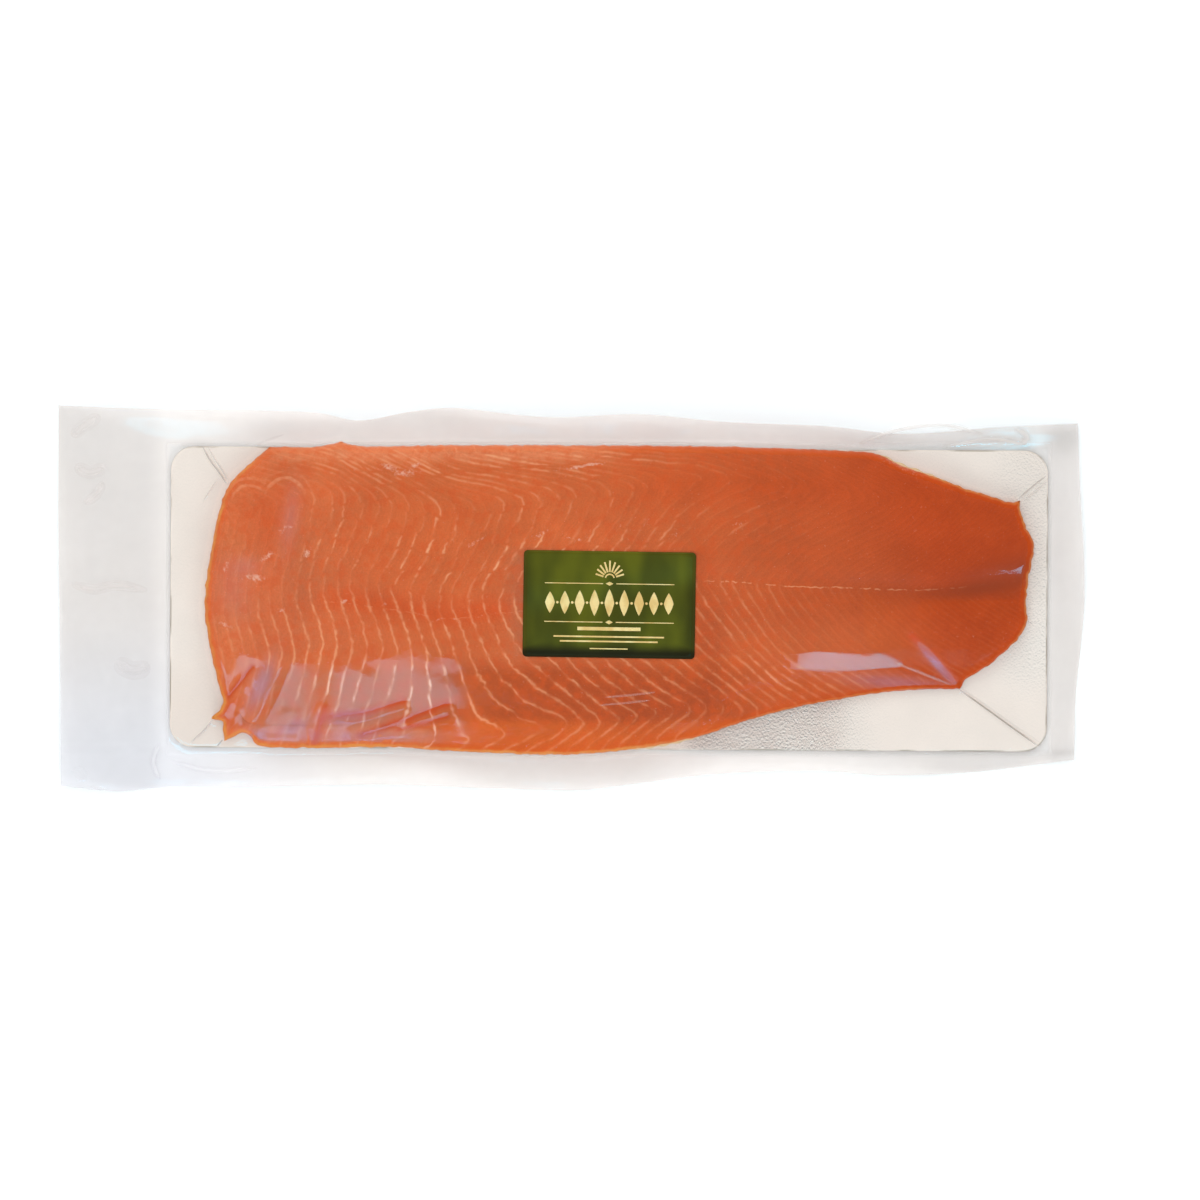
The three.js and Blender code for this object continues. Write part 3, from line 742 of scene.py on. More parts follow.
def flesh_material(look):
    """Smoked flesh: soft orange with thin fat lines between the flakes."""
    material, w, shader = new_material(
        "smoked_flesh", Roughness=0.5, Specular_IOR_Level=0.1, Subsurface_Weight=0.12,
        Subsurface_Radius=(1.0, 0.35, 0.15), Subsurface_Scale=1.6 * MM,
    )
    here = w.place()
    drift = w.centred(w.noise(here, 13, 2))
    tremble = w.centred(w.noise(here, 3.2, 1))
    phase, breaks, core, halo = fat_lines(w, here, drift, tremble)
    colour = w.mix(halo, flesh_ground(w, look, here, phase), look.line_colour)
    colour = w.mix(core, colour, w.mix(w.attribute("waxy"), look.fat_colour, look.tissue_colour))
    # Arches at the collar.
    arcs = w.off_middle(w.math("MULTIPLY_ADD", drift, 0.9, w.attribute("rings")))
    arcs = w.times(w.ramp(arcs, 0.08, 0.3, 0.75, 0.0), w.times(w.attribute("ringed"), breaks))
    colour = w.mix(arcs, colour, look.fat_colour)
    # A thin pale seam in dashes along the bone row.
    dashes = w.ramp(w.noise(w.stretched(here, (1, 0.2, 1)), 4, 3), 0.42, 0.56)
    off_seam = w.math("ABSOLUTE", w.math("MULTIPLY_ADD", tremble, 2.2, w.attribute("lateral")))
    seam = w.times(dashes, w.ramp(off_seam, 0.15, 0.6, 0.85, 0.0), w.attribute("seam"))
    colour = w.mix(seam, colour, look.fat_colour)
    # Scraps of tissue, painted shade in the valleys of the folds, and brown patches.
    scraps = w.math("MULTIPLY_ADD", w.noise(here, 2.1, 5, 0.72), 3.0, w.attribute("pale"))
    colour = w.mix(w.ramp(scraps, 1.8, 2.75, 0.0, 0.7), colour, look.tissue_colour)
    colour = w.mix(w.times(w.attribute("fold_shade"), 0.75), colour, look.fold_shade_colour)
    colour = w.mix(w.attribute("dusk"), colour, look.dusk_colour)
    w.feed(shader.inputs["Base Color"], flesh_edge(w, look, here, colour))
    height = w.math("MULTIPLY_ADD", core, -0.5, w.noise(here, 2.2, 3))
    w.feed(shader.inputs["Normal"], w.bump(height, 0.35, 0.25))
    return material


def membrane_material(look):
    """Thin yellowish belly membrane."""
    material, w, shader = new_material("belly_membrane", Roughness=0.45, Specular_IOR_Level=0.2)
    grains = w.mottled(w.place(), 0.2, 0.2)["Grains"]
    w.feed(shader.inputs["Base Color"], tinted(w, look.membrane_colour, grains))
    return material


def foil_material(look):
    """Champagne foil, embossed in patches with painted shade and highlight on its relief, with bared
    card and painted shade along its edge.
    """
    material, w, shader = new_material("champagne_foil", Specular_IOR_Level=0.5)
    here = w.place()
    mottle = w.mottled(here, 0.1, 0.08)
    colour = tinted(w, look.foil_colour, w.times(mottle["Blotches"], mottle["Grains"]))
    colour = tinted(w, colour, w.mix(w.attribute("low"), *FOIL_TINTS))
    # Painted shade and highlight of the relief: one side of each slope is painted darker and the other
    # lighter than the flat foil.
    grain = w.stretched(here, (1, 0.75, 1), -35)
    shifted = w.add("ShaderNodeVectorMath", {0: grain, 1: (0.3 * MM, 0.3 * MM, 0)}).outputs[0]
    pebble = w.noise(grain, 1.2, 5, 0.74)
    slope = w.math("SUBTRACT", pebble, w.noise(shifted, 1.2, 5, 0.74))
    rough_patch = w.attribute("emboss")
    relief_shade = w.times(w.ramp(slope, 0.01, 0.13), w.math("MULTIPLY_ADD", rough_patch, 0.85, 0.06))
    relief_highlight = w.times(w.ramp(slope, -0.12, -0.02, 0.8, 0.0), rough_patch)
    # Painted shade in soft blotches of the rough patch, where the foil turns from the light.
    patches = w.ramp(w.noise(here, 14, 2), 0.3, 0.7, 0.4, 0.65)
    turned_shade = w.times(w.ramp(rough_patch, 0.3, 0.8, 0.0, 0.9), patches)
    colour = w.mix(relief_shade, w.mix(turned_shade, colour, look.foil_turned_shade), look.foil_relief_shade)
    colour = w.mix(relief_highlight, colour, look.foil_relief_highlight)
    # Along the foil's edge: bared card, and painted shade of the board's edge.
    scuffs = w.ramp(w.noise(here, 22, 3), 0.4, 0.6, 0.1, 1.0)
    worn_and_shade = w.times(w.ramp(w.attribute("inset"), 0.5, 1.0, 1.0, 0.0), scuffs)
    w.feed(shader.inputs["Base Color"], w.mix(worn_and_shade, colour, look.worn_and_shade_colour))
    w.feed(shader.inputs["Metallic"], w.math("MULTIPLY_ADD", rough_patch, 0.1, 0.16))
    w.feed(shader.inputs["Roughness"], w.math("MULTIPLY_ADD", rough_patch, -0.12, 0.42))
    lift = w.times(pebble, w.math("MULTIPLY_ADD", rough_patch, 0.9, 0.1))
    w.feed(shader.inputs["Normal"], w.bump(lift, 0.5, 0.3))
    return material


def card_material(look):
    """Card in thin plies, which shows at the board's side and back."""
    material, w, shader = new_material("card_core", Roughness=0.85)
    here = w.place()
    plies = w.noise(w.stretched(here, (0.1, 0.1, 6)), 1.2, 3)
    colour = tinted(w, look.card_colour, w.mottled(here, 0.1, 0.16)["Grains"])
    w.feed(shader.inputs["Base Color"], tinted(w, colour, w.ramp(plies, 0.3, 0.7, 0.82, 1.08)))
    w.feed(shader.inputs["Normal"], w.bump(plies, 0.3, 0.1))
    return material


def film_material(name):
    """Clear film: it mirrors the room by its angle, and is milky where it is loose."""
    material, w, shader = new_material(name, Specular_IOR_Level=0.0)
    here = w.place()
    fine = w.noise(w.stretched(here, (1, 1, 0.3), 30), 7, 3)
    bumped = w.bump(fine, 0.14, 0.5)
    behind = w.add("ShaderNodeNewGeometry").outputs["Backfacing"]
    index = w.math("MULTIPLY_ADD", behind, 1 / FILM_INDEX - FILM_INDEX, FILM_INDEX)
    mirror = w.add("ShaderNodeFresnel", {"IOR": index, "Normal": bumped}).outputs[0]
    mirror = w.times(mirror, w.attribute("gloss"))
    haze = w.attribute("haze")
    clouds = w.ramp(w.noise(here, 46, 3, 0.5), 0.3, 0.7, 0.94, 1.05)
    milk = w.math("MULTIPLY", haze, clouds, clamp=True)
    cover = w.math("ADD", mirror, milk, clamp=True)
    colour = tinted(w, w.attribute("veil", "Color"), w.mottled(here, 0.06, 0.02)["Blotches"])
    w.feed(shader.inputs["Base Color"], colour)
    w.feed(shader.inputs["Metallic"], w.math("DIVIDE", mirror, w.math("MAXIMUM", cover, 0.001)))
    w.feed(shader.inputs["Roughness"], w.math("MULTIPLY_ADD", haze, 0.16, 0.07))
    w.feed(shader.inputs["Alpha"], cover)
    w.feed(shader.inputs["Normal"], bumped)
    return material


def label_material(look):
    """Green foil paper with a painted sheen in broad diagonal bands, and painted shade towards its lower
    edge and over its soft bends.
    """
    material, w, shader = new_material("green_foil_paper", Metallic=0.35, Specular_IOR_Level=0.15)
    here = w.place()
    mottle = w.mottled(here, 0.3, 0.1)
    # Painted sheen: broad diagonal bands of lighter green.
    sheen_bands = w.noise(w.stretched(here, (1, 0.45, 1), 35), 26, 2)
    colour = w.mix(w.ramp(sheen_bands, 0.34, 0.64), look.green_dark, look.green)
    colour = tinted(w, colour, mottle["Blotches"])
    # Painted shade towards the lower edge and at the sides.
    low = w.ramp(w.attribute("across"), -31, -23, 0.95, 0.0)
    sides = w.ramp(w.math("ABSOLUTE", w.attribute("along")), 42, 55, 0.0, 0.5)
    w.feed(shader.inputs["Base Color"], w.mix(w.math("MAXIMUM", low, sides), colour, look.green_shade))
    w.feed(shader.inputs["Roughness"], w.math("MULTIPLY_ADD", mottle["Grains"], 0.1, 0.26))
    w.feed(shader.inputs["Normal"], w.bump(w.noise(here, 1.4, 2), 0.1, 0.1))
    return material


def gold_material(look):
    """Hot-stamped gold, brighter in soft bands of painted sheen, where it is also smoother."""
    material, w, shader = new_material("stamped_gold", Metallic=0.35, Specular_IOR_Level=0.5)
    here = w.place()
    sheen = w.noise(w.stretched(here, (1, 0.6, 1), 18), 9, 2)
    colour = w.mix(w.ramp(sheen, 0.35, 0.65), look.gold_dark, look.gold)
    w.feed(shader.inputs["Base Color"], tinted(w, colour, w.mottled(here, 0.1, 0.2)["Grains"]))
    w.feed(shader.inputs["Roughness"], w.ramp(sheen, 0.3, 0.7, 0.42, 0.3))
    return material


def floor_material(look):
    """Plain pale studio paper."""
    material, w, shader = new_material("studio_paper", Roughness=0.9, Specular_IOR_Level=0.1)
    blotches = w.mottled(w.place(), 0.01, 0.01)["Blotches"]
    w.feed(shader.inputs["Base Color"], tinted(w, look.floor_colour, blotches))
    return material


# ------------------------------------------------------------------ the fish


def off_bone_row(x, y):
    """How far places lie above the bone row, seen from above."""
    row = curve_through(BONE_ROW)
    return y - np.interp(x, row[:, 0], row[:, 1])


def septa_phase(x, y):
    """Counts the fat lines passed on the way from the head to a place."""
    place = np.linspace(-420, 420, 1681)
    step = place[1] - place[0]
    count = np.cumsum(step / profile(PITCH, place, 12))
    run = blended_profile(SWEEP, x, off_bone_row(x, y), SWEEP_ROUNDING, lambda v: np.clip(v, 0, 1))
    return np.interp(x - run, place, count)


def flesh_relief(x, y, s):
    """Height that the bone row, the folds, the flakes and soft unevenness add to the flesh."""
    groove = GROOVE_DEPTH[0] + (GROOVE_DEPTH[1] - GROOVE_DEPTH[0]) * s**2
    height = -groove * bell(off_bone_row(x, y), GROOVE_WIDTH)
    places = np.stack([x, y], 1)
    for line, width, depth in FOLDS:
        height += depth * bell(distance_to(np.array(line, float), places), width)
    height += 0.2 * ripple(x, y, 70, 11) + 0.04 * ripple(x, y, 24, 12)
    return height + FLAKE_HEIGHT * np.cos(2 * math.pi * septa_phase(x, y))


def blob(x, y, centre, half_length, half_width, turn=0):
    """A soft spot of 1 at its centre, fading out past its half sizes."""
    angle = math.radians(turn)
    dx, dy = x - centre[0], y - centre[1]
    u = (dx * math.cos(angle) + dy * math.sin(angle)) / half_length
    v = (dy * math.cos(angle) - dx * math.sin(angle)) / half_width
    return np.exp(-(u * u + v * v) * 0.9)


def spots(x, y, places):
    """The sum of soft spots, each given as blob takes it and followed by its strength."""
    return sum(strength * blob(x, y, *spot) for *spot, strength in places)


def flesh_tone(look, x, y):
    """The flesh's colour at each place: paler and pinker at the head, deeper in colour at the tail, with
    painted shade of the label on either side of it.
    """
    off = off_bone_row(x, y)
    label_shadow_rows = ease(np.abs(y + 4), 40, 30)
    flap = ease(y, -42, -50) * ease(x, -58, -78) * ease(x, -205, -185)
    upmost = ease(x, 50, -10) * ease(x, -208, -178)
    ends = 0.5 * blob(x, y, (-216, -28), 10, 26) + 0.25 * blob(x, y, (-205, 75), 24, 12, 50)
    # Painted shade: the label's shadow at its right side, and a darker patch on the belly below the
    # label.
    shade = 0.4 * blob(x, y, (42, -67), 52, 17) + 0.3 * blob(x, y, (89, -34), 9, 30)
    # Each colour covers a share of what the ones above it have made.
    layers = (
        (look.head_tone, ease(x, -90, -200)),
        (look.red_tone, 0.75 * bell(off - 2, 8) * ease(x, -190, -140) * ease(x, 90, 30)),
        (look.red_tone, 0.45 * blob(x, y, (-190, 53), 22, 18, 60)),
        (look.pale_tone, ends),
        (look.pale_tone, 0.4 * blob(x, y, (-214, 37), 12, 14)),
        # Painted shadow of the label at its right side.
        (look.brown_tone, 0.5 * label_shadow_rows * bell(x - 82, 9)),
        (look.muted_tone, 0.3 * blob(x, y, (-166, 16), 16, 60)),
        (look.red_tone, 0.42 * ease(x, 20, 60) * ease(x, 195, 165) * bell(y - 70, 12)),
        # Painted shadow of the label at its left side, and muted flesh on the belly flap.
        (look.muted_tone, np.maximum(0.6 * label_shadow_rows * bell(x + 31, 10), 0.5 * flap)),
        (look.tail_tone, profile(TAIL_SHARE, x + 0.4 * (np.abs(off) - 45), 12)),
        (look.red_tone, 0.3 * blob(x, y, (222, 62), 52, 30, -14)),
        (look.brown_tone, ease(y, -34, -50) * ease(x, -100, -40) * ease(x, 132, 82)),
        (look.middle_tone, 0.6 * blob(x, y, (152, -29), 62, 15)),
        (look.belly_tone, ease(y, -74, -82) * ease(x, -110, -70)),
        (look.brown_tone, 0.34 * blob(x, y, (36, -77), 44, 8)),
        (look.dusk_colour, shade),
        (look.pale_tone, 0.7 * ease(y, -80, -86) * ease(x, -84, -100)),
        (look.pale_tone, ease(y, 82, 91) * upmost),
        (look.tissue_colour, 0.09 * ease(y, 84, 90) * upmost),
    )
    tone = np.tile(np.array(look.middle_tone), (len(x), 1))
    for colour, share in layers:
        tone += (np.array(colour) - tone) * share[:, None]
    return tone


def fat_strength(x, y):
    """How strongly the fat lines show: most on the belly side, least towards the tail."""
    off = off_bone_row(x, y)
    above = profile(FAT_ABOVE, off, 2)
    below = 0.9 - 0.25 * ease(off, -60, -74)
    strength = above + (below - above) * ease(off, 3, -2)
    weaker = (
        0.5 * ease(x, -10, 60) * ease(off, 6, 18),
        0.88 * ease(x, 45, 80) * ease(off, -3, 2) * ease(off, 34, 22),
        0.7 * ease(x, 90, 170) * ease(off, -52, -36),
        0.8 * ease(x, 110, 190),
        0.5 * ease(x, 50, 90),
        0.55 * ease(x, -150, -170) * ease(off, 8, 16),
        0.6 * ease(x, -160, -185) * ease(y, -38, -52),
        0.6 * ease(x, -182, -222),
    )
    for share in weaker:
        strength = strength * (1 - share)
    strength = strength + 0.36 * blob(x, y, (150, -52), 34, 11)
    strength = strength * (1 - 0.32 * ease(x, -60, -20) * ease(y, -28, -42) * ease(x, 110, 80))
    strength = strength * (1 + 0.5 * ease(y, -38, -46) * ease(x, -60, -80) * ease(x, -165, -150))
    return strength * (1 - 0.7 * blob(x, y, (-192, 42), 30, 46))


def collar_rings(x, y):
    """Radius in spacings round the nearer collar centre, and how strongly its arches show."""
    radius = np.array([np.hypot(x - cx, y - cy) for (cx, cy), *_ in RINGS])
    near = radius.argmin(0)
    rings, shown = np.zeros_like(x), np.zeros_like(x)
    for i, ((_, cy), spacing, (least, most), strength) in enumerate(RINGS):
        here = near == i
        out = radius[i][here]
        rings[here] = out / spacing
        band = ease(out, least, least + 3) * ease(out, most, most - 5)
        shown[here] = strength * band * ease(y[here] - cy, 0, 8)
    return rings, shown


def flesh_plan():
    """The flesh's plan with a slightly ragged edge, its rim, and how far places lie from that."""
    plan = patch_between(FLESH_EDGE, *FLESH_STEPS).reshape(-1, 2)
    rim = grid_rim(*FLESH_STEPS)
    x, y = plan.T
    loose = np.clip(1 - off_rim(plan, rim) / RAGGED_DEPTH, 0, 1) * (1 + 0.7 * ease(x, 230, 250))
    ragged = [0.19 * ripple(x, y, 9, seed) + 0.14 * ripple(x, y, 4.2, seed + 1) for seed in (51, 61)]
    plan = plan + loose[:, None] * np.stack(ragged, 1)
    return plan, rim, off_rim(plan, rim)


def side_rings(look, edge, base, height):
    """Rings of points down the flesh's side, which bulges a little and leans in at the board."""
    ahead = np.roll(edge, -3, 0) - np.roll(edge, 3, 0)
    outward = np.column_stack([ahead[:, 1], -ahead[:, 0]])
    outward /= np.linalg.norm(outward, axis=1)[:, None]
    rings = []
    for share in np.linspace(0, 1, SIDE_ROWS + 1)[1:]:
        bulge = SIDE_BULGE * math.sin(math.pi * share) - look.tuck / MM * share**2
        rings.append(np.column_stack([edge + outward * bulge, base + height * (1 - share)]))
    return rings


def mark_flesh(flesh, look, points, off_edge, side):
    """Keeps for each point of the flesh what its material reads."""
    x, y = points[:, :2].T
    off = off_bone_row(x, y)
    gradient = [
        septa_phase(x + 0.5, y) - septa_phase(x - 0.5, y),
        septa_phase(x, y + 0.5) - septa_phase(x, y - 0.5),
    ]
    rings, ringed = collar_rings(x, y)
    row_seam = 0.22 * ease(x, -170, -150) * ease(x, 60, 20)
    upper_band = ease(off, 20, 28) * ease(off, 56, 48) * ease(x, 60, 0)
    head_or_belly = np.maximum(ease(x, -190, -210), 0.85 * ease(y, -58, -70) * ease(x, 100, 40))
    dried = [
        0.15 + 0.85 * head_or_belly,
        0.6 * ease(x, 215, 235) * ease(y, -40, -20),
        0.45 * ease(y, -40, -50) * ease(x, 235, 215),
    ]
    # Painted shade in the valleys of the deeper folds.
    fold_shade = [
        bell(distance_to(curve_through(line, 4), points[:, :2]), 1.1 * width)
        for line, width, depth in FOLDS if depth < -0.45
    ]
    marks = {
        "septa": septa_phase(x, y),
        "pitch": 1 / np.maximum(np.hypot(*gradient), 0.04),
        "fat": fat_strength(x, y),
        "waxy": 0.9 * ease(y, -38, -46) * ease(x, -60, -80),
        "lateral": off,
        "seam": np.maximum(0.6 * ease(x, 80, 94), row_seam),
        "broken": ease(off, 5, 14),
        "rings": rings,
        "ringed": ringed,
        "rim": np.append(off_edge, np.zeros(len(points) - len(off_edge))),
        "side": side,
        "flecked": 0.42 - 0.34 * ease(x, 110, 200),
        "fibrous": 0.24 + 0.14 * upper_band - 0.08 * ease(x, 90, 170),
        "dried": np.max(dried, 0),
        "pale": np.clip(spots(x, y, PALE_SCRAPS), 0, 1),
        "fold_shade": np.max(fold_shade, 0),
        "dusk": np.clip(spots(x, y, DUSK_SPOTS), 0, 1),
    }
    for name, values in marks.items():
        store(flesh, name, values)
    store_colour(flesh, "tone", flesh_tone(look, x, y))


def build_flesh(look):
    """The side of fish as one closed body."""
    columns, rows = FLESH_STEPS
    plan, rim, off_edge = flesh_plan()
    s = np.repeat(np.linspace(0, 1, columns + 1), rows + 1)
    t = np.tile(np.linspace(0, 1, rows + 1), columns + 1)
    shape = profile(ALONG, s, ROUNDING_ALONG) * blended_profile(ACROSS, s, t, ROUNDING_ACROSS)
    full = THICKNESS * shape + flesh_relief(*plan.T, s)
    inward = np.minimum(1, off_edge * MM / look.edge_round)
    height = full * (EDGE_HEIGHT + (1 - EDGE_HEIGHT) * np.sqrt(1 - (1 - inward) ** 2))
    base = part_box("salmon_side")[0].z / MM
    top = np.column_stack([plan, base + height])
    points = np.vstack([top, *side_rings(look, plan[rim], base, height[rim])])

    faces = grid_faces(columns, rows).tolist()
    above = rim
    for i in range(SIDE_ROWS):
        below = np.arange(len(rim)) + len(top) + i * len(rim)
        faces += band_faces(below, above).tolist()
        above = below
    faces.append(above[::-1].tolist())
    flesh = make_piece("salmon_flesh", points, faces, [flesh_material(look)])
    side = np.repeat(np.linspace(0, 1, SIDE_ROWS + 1), [len(top)] + [len(rim)] * SIDE_ROWS)
    mark_flesh(flesh, look, points, off_edge, side)
    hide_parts("salmon_side")


def build_fringes(look):
    """Thin scraps of membrane that stick out beside the edge of the flesh."""
    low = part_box("salmon_side")[0].z / MM
    points, faces = [], []
    for edge, start, end, side, reach in FRINGES:
        line = edge_through(FLESH_EDGE[edge])(np.linspace(start, end, 40))
        share = np.linspace(0.02, 0.98, len(line))
        waver = 0.75 + 0.25 * np.sin(share * 31 + start * 90)
        widths = reach * np.sqrt(np.sin(math.pi * share)) * waver
        first = len(points)
        for place, inward, width in zip(line, side_of(line) * side, widths):
            # The scrap's section: places outwards from the edge, and heights.
            section = [(-1.5, 0.1), (width, 0.15), (width + 0.1, 0.3), (-1.5, 0.9)]
            points += [(*(place - inward * out), low + rise) for out, rise in section]
        corners = first + np.arange(4)[::side]
        for i in range(len(line) - 1):
            faces += band_faces(corners + i * 4, corners + (i + 1) * 4).tolist()
        faces += [corners[::-1].tolist(), (corners + (len(line) - 1) * 4).tolist()]
    fringes = make_piece("membrane_fringes", points, faces, [membrane_material(look)])


# ------------------------------------------------------------------ the board


def rounded_loop(size, corner, centre=(0, 0), turn=0.0, side_steps=(2, 2), arc_steps=10):
    """A loop round a rectangle with round corners, anticlockwise, turned in radians."""
    half = np.array(size) / 2
    loop = []
    signs = ((1, -1), (1, 1), (-1, 1), (-1, -1))
    for k, sign in enumerate(signs):
        turns = (k - 1 + np.linspace(0, 1, arc_steps + 1)) * math.pi / 2
        arc = np.column_stack([np.cos(turns), np.sin(turns)]) * corner
        end = (half - corner) * signs[(k + 1) % 4] + arc[-1]
        arc += (half - corner) * sign
        steps = side_steps[(k + 1) % 2]
        between = arc[-1] + (end - arc[-1]) * np.linspace(0, 1, steps + 1)[1:-1, None]
        loop.append(np.vstack([arc, between]))
    spin = np.array([[math.cos(turn), math.sin(turn)], [-math.sin(turn), math.cos(turn)]])
    return np.vstack(loop) @ spin + np.array(centre)


def build_board(look):
    """The board: a foil face with slightly pressed edges on a card core."""
    low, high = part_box("foil_board")
    floor, top = low.z / MM, high.z / MM
    centre = ((low.x + high.x) / 2 / MM, (low.y + high.y) / 2 / MM)
    levels = [(CARD_BEVEL[0], floor), (0, floor + CARD_BEVEL[1])]
    levels += [(inset, top + drop) for inset, drop in FOIL_RINGS]
    rings = []
    for inset, z in levels:
        size = (look.length / MM - 2 * inset, look.width / MM - 2 * inset)
        corner = max(look.corner / MM - inset, 2)
        loop = rounded_loop(size, corner, centre, look.turn, side_steps=(70, 26))
        rings.append(np.column_stack([loop, np.full(len(loop), z)]))
    count = len(rings[0])
    points = np.vstack(rings)
    faces = stacked_rings(count, len(rings))
    faces += [list(range(len(points) - count, len(points))), list(range(count - 1, -1, -1))]
    slots = [1] * 2 * count + [0] * (len(rings) - 3) * count + [0, 1]
    materials = [foil_material(look), card_material(look)]
    board = make_piece("foil_board_dressed", points, faces, materials, slots)
    x, y = points[:, :2].T
    emboss = np.maximum(
        0.95 * ease(x, 60, 85) * ease(x, 205, 145) * ease(y, -44, -64),
        0.36 * ease(x, 262, 286) * ease(y, -70, -40),
    )
    store(board, "emboss", emboss)
    store(board, "low", ease(y, -20, -70))
    store(board, "inset", np.repeat([0, 0] + [inset for inset, _ in FOIL_RINGS], count))
    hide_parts("foil_board")


# ------------------------------------------------------------------ the bag


def margin_lift(field):
    """How far the bag's underside stands off the table, evened out, from the frame's bag."""
    tree = tree_of(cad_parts["vacuum_bag"])
    seen = seen_height(tree, field.x, field.y, -RAY_LOW, down=False)
    known = np.isfinite(seen)
    weight = np.maximum(blur(known.astype(float), LIFT_BLUR), 1e-3)
    return blur(np.where(known, seen, 0), LIFT_BLUR) / weight


def bag_field():
    """An even grid of places over the whole bag."""
    low, high = (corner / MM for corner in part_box("vacuum_bag"))
    return Field((low.x - 3, low.y - 3), (high.x + 3, high.y + 3), FIELD_PITCH)


def film_heights(look, x, y, lift):
    """Heights of the upper film, tight over fish and board and loose in the lifted margin."""
    wrinkles = 0.5 * (1 + ripple(x, y, 38, 21)) + 0.22 * ripple(x, y, 13, 22)
    held = lift + np.maximum(MARGIN_GAP + look.wrinkle / MM * wrinkles, LEAST_GAP)
    for name in ("foil_board_dressed", "salmon_flesh"):
        seen = seen_height(tree_of(bpy.data.objects[name]), x, y, RAY_HIGH)
        held = np.fmax(held, seen + look.clearance / MM)
    # Small puckers of the film over the belly flap.
    flap = ease(x, -62, -92) * ease(x, -236, -226) * ease(y, -28, -40) * ease(y, -97, -91)
    held = held + flap * look.pucker / MM * (1 + ripple(x, y, 17, 23))
    # The film spans a shallow hollow along the belly side, ahead of the tail.
    hollow = ease(x, 92, 118) * ease(x, 188, 162) * ease(y, -46, -34) * ease(y, 20, -20)
    held = held + look.span / MM * hollow
    drawn = held
    for _ in range(BRIDGING):
        drawn = np.maximum(held, blur(drawn, 1))
    return blur(drawn, FILM_BLUR) + FILM_GAP


def off_board(x, y):
    """How far places lie outside the board's box; below 0 they are inside it."""
    low, high = (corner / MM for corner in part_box("foil_board"))
    centre, half = (low + high) / 2, (high - low) / 2
    return np.maximum(np.abs(x - centre.x) - half.x, np.abs(y - centre.y) - half.y)


def veil(look, x, y):
    """Colour of the milky part of the film: cooler low on the head side as painted cool light, warmer at
    the top, with painted shade near the board and a painted lavender reflection where the film stands
    off.
    """
    cool = (ease(x, -120, -280) * ease(y, 10, -110))[:, None]
    # Painted lavender reflection where the film stands off the flesh.
    slack_reflection = np.clip(spots(x, y, SLACK_REFLECTIONS) * 8, 0, 1)[:, None]
    # Painted shade: a soft shadow band just below the board's lower edge; the margins near the board's
    # right corners and past its ends are also made darker.
    dim = 1 - 0.25 * blob(x, y, (262, 104), 70, 13) - 0.14 * blob(x, y, (262, -108), 70, 13)
    dim = dim - 0.13 * bell(y + 98.5, 2.4) * ease(x, 40, 100) - 0.12 * ease(np.abs(x - 20), 276, 292)
    tint = np.array(look.veil_warm) * (1 - cool) + np.array(look.veil_cool) * cool
    return dim[:, None] * (tint * (1 - slack_reflection) + np.array(look.veil_slack_reflection) * slack_reflection)


def mark_film(piece, look, x, y, haze, gloss=1.0):
    """Keeps for each point of a film what its material reads."""
    store(piece, "haze", np.clip(haze, 0, 1))
    store(piece, "gloss", np.broadcast_to(gloss, x.shape))
    store_colour(piece, "veil", veil(look, x, y))


def gloss_cut(field, x, y, outside):
    """Where the upper film mirrors less, from places and how far they lie outside the board."""
    rise = field.at(x + 1, y) - field.at(x - 1, y), field.at(x, y + 1) - field.at(x, y - 1)
    slope = np.hypot(*rise) / 2
    below, above = (y - np.interp(x, *np.transpose(knots)) for knots in (LENS_LOW, LENS_HIGH))
    past_lens = np.maximum(
        ease(below, 0, -2.2),
        ease(x, 184, 187) * ease(above, 0, 2.2) * ease(above, 44, 26) * ease(x, 262, 238),
    )
    lens_start = 0.5 * ease(x, 150, 136) * ease(x, 100, 110) * ease(y, -52, -47) * ease(y, -22, -27)
    cuts = [
        ease(slope, 0.42, 0.72) * ease(outside, -1, -4),  # steep sides of the fish
        ease(x, -78, -62) * ease(x, 110, 80) * ease(y, -42, -50) * ease(y, -102, -98),  # wet belly
        np.maximum(ease(x, 40, 60) * past_lens, lens_start),  # round the long mirrored window
        ease(x, -112, -98) * ease(y, -77, -83) * ease(x, -60, -80),  # low edge of the belly flap
        0.8 * ease(x, -144, -156) * ease(x, -178, -158),  # flap at the head
        0.5 * ease(outside, *BOARD_RIM),  # margin
    ]
    return GLOSS_CUT * np.max(cuts, 0)


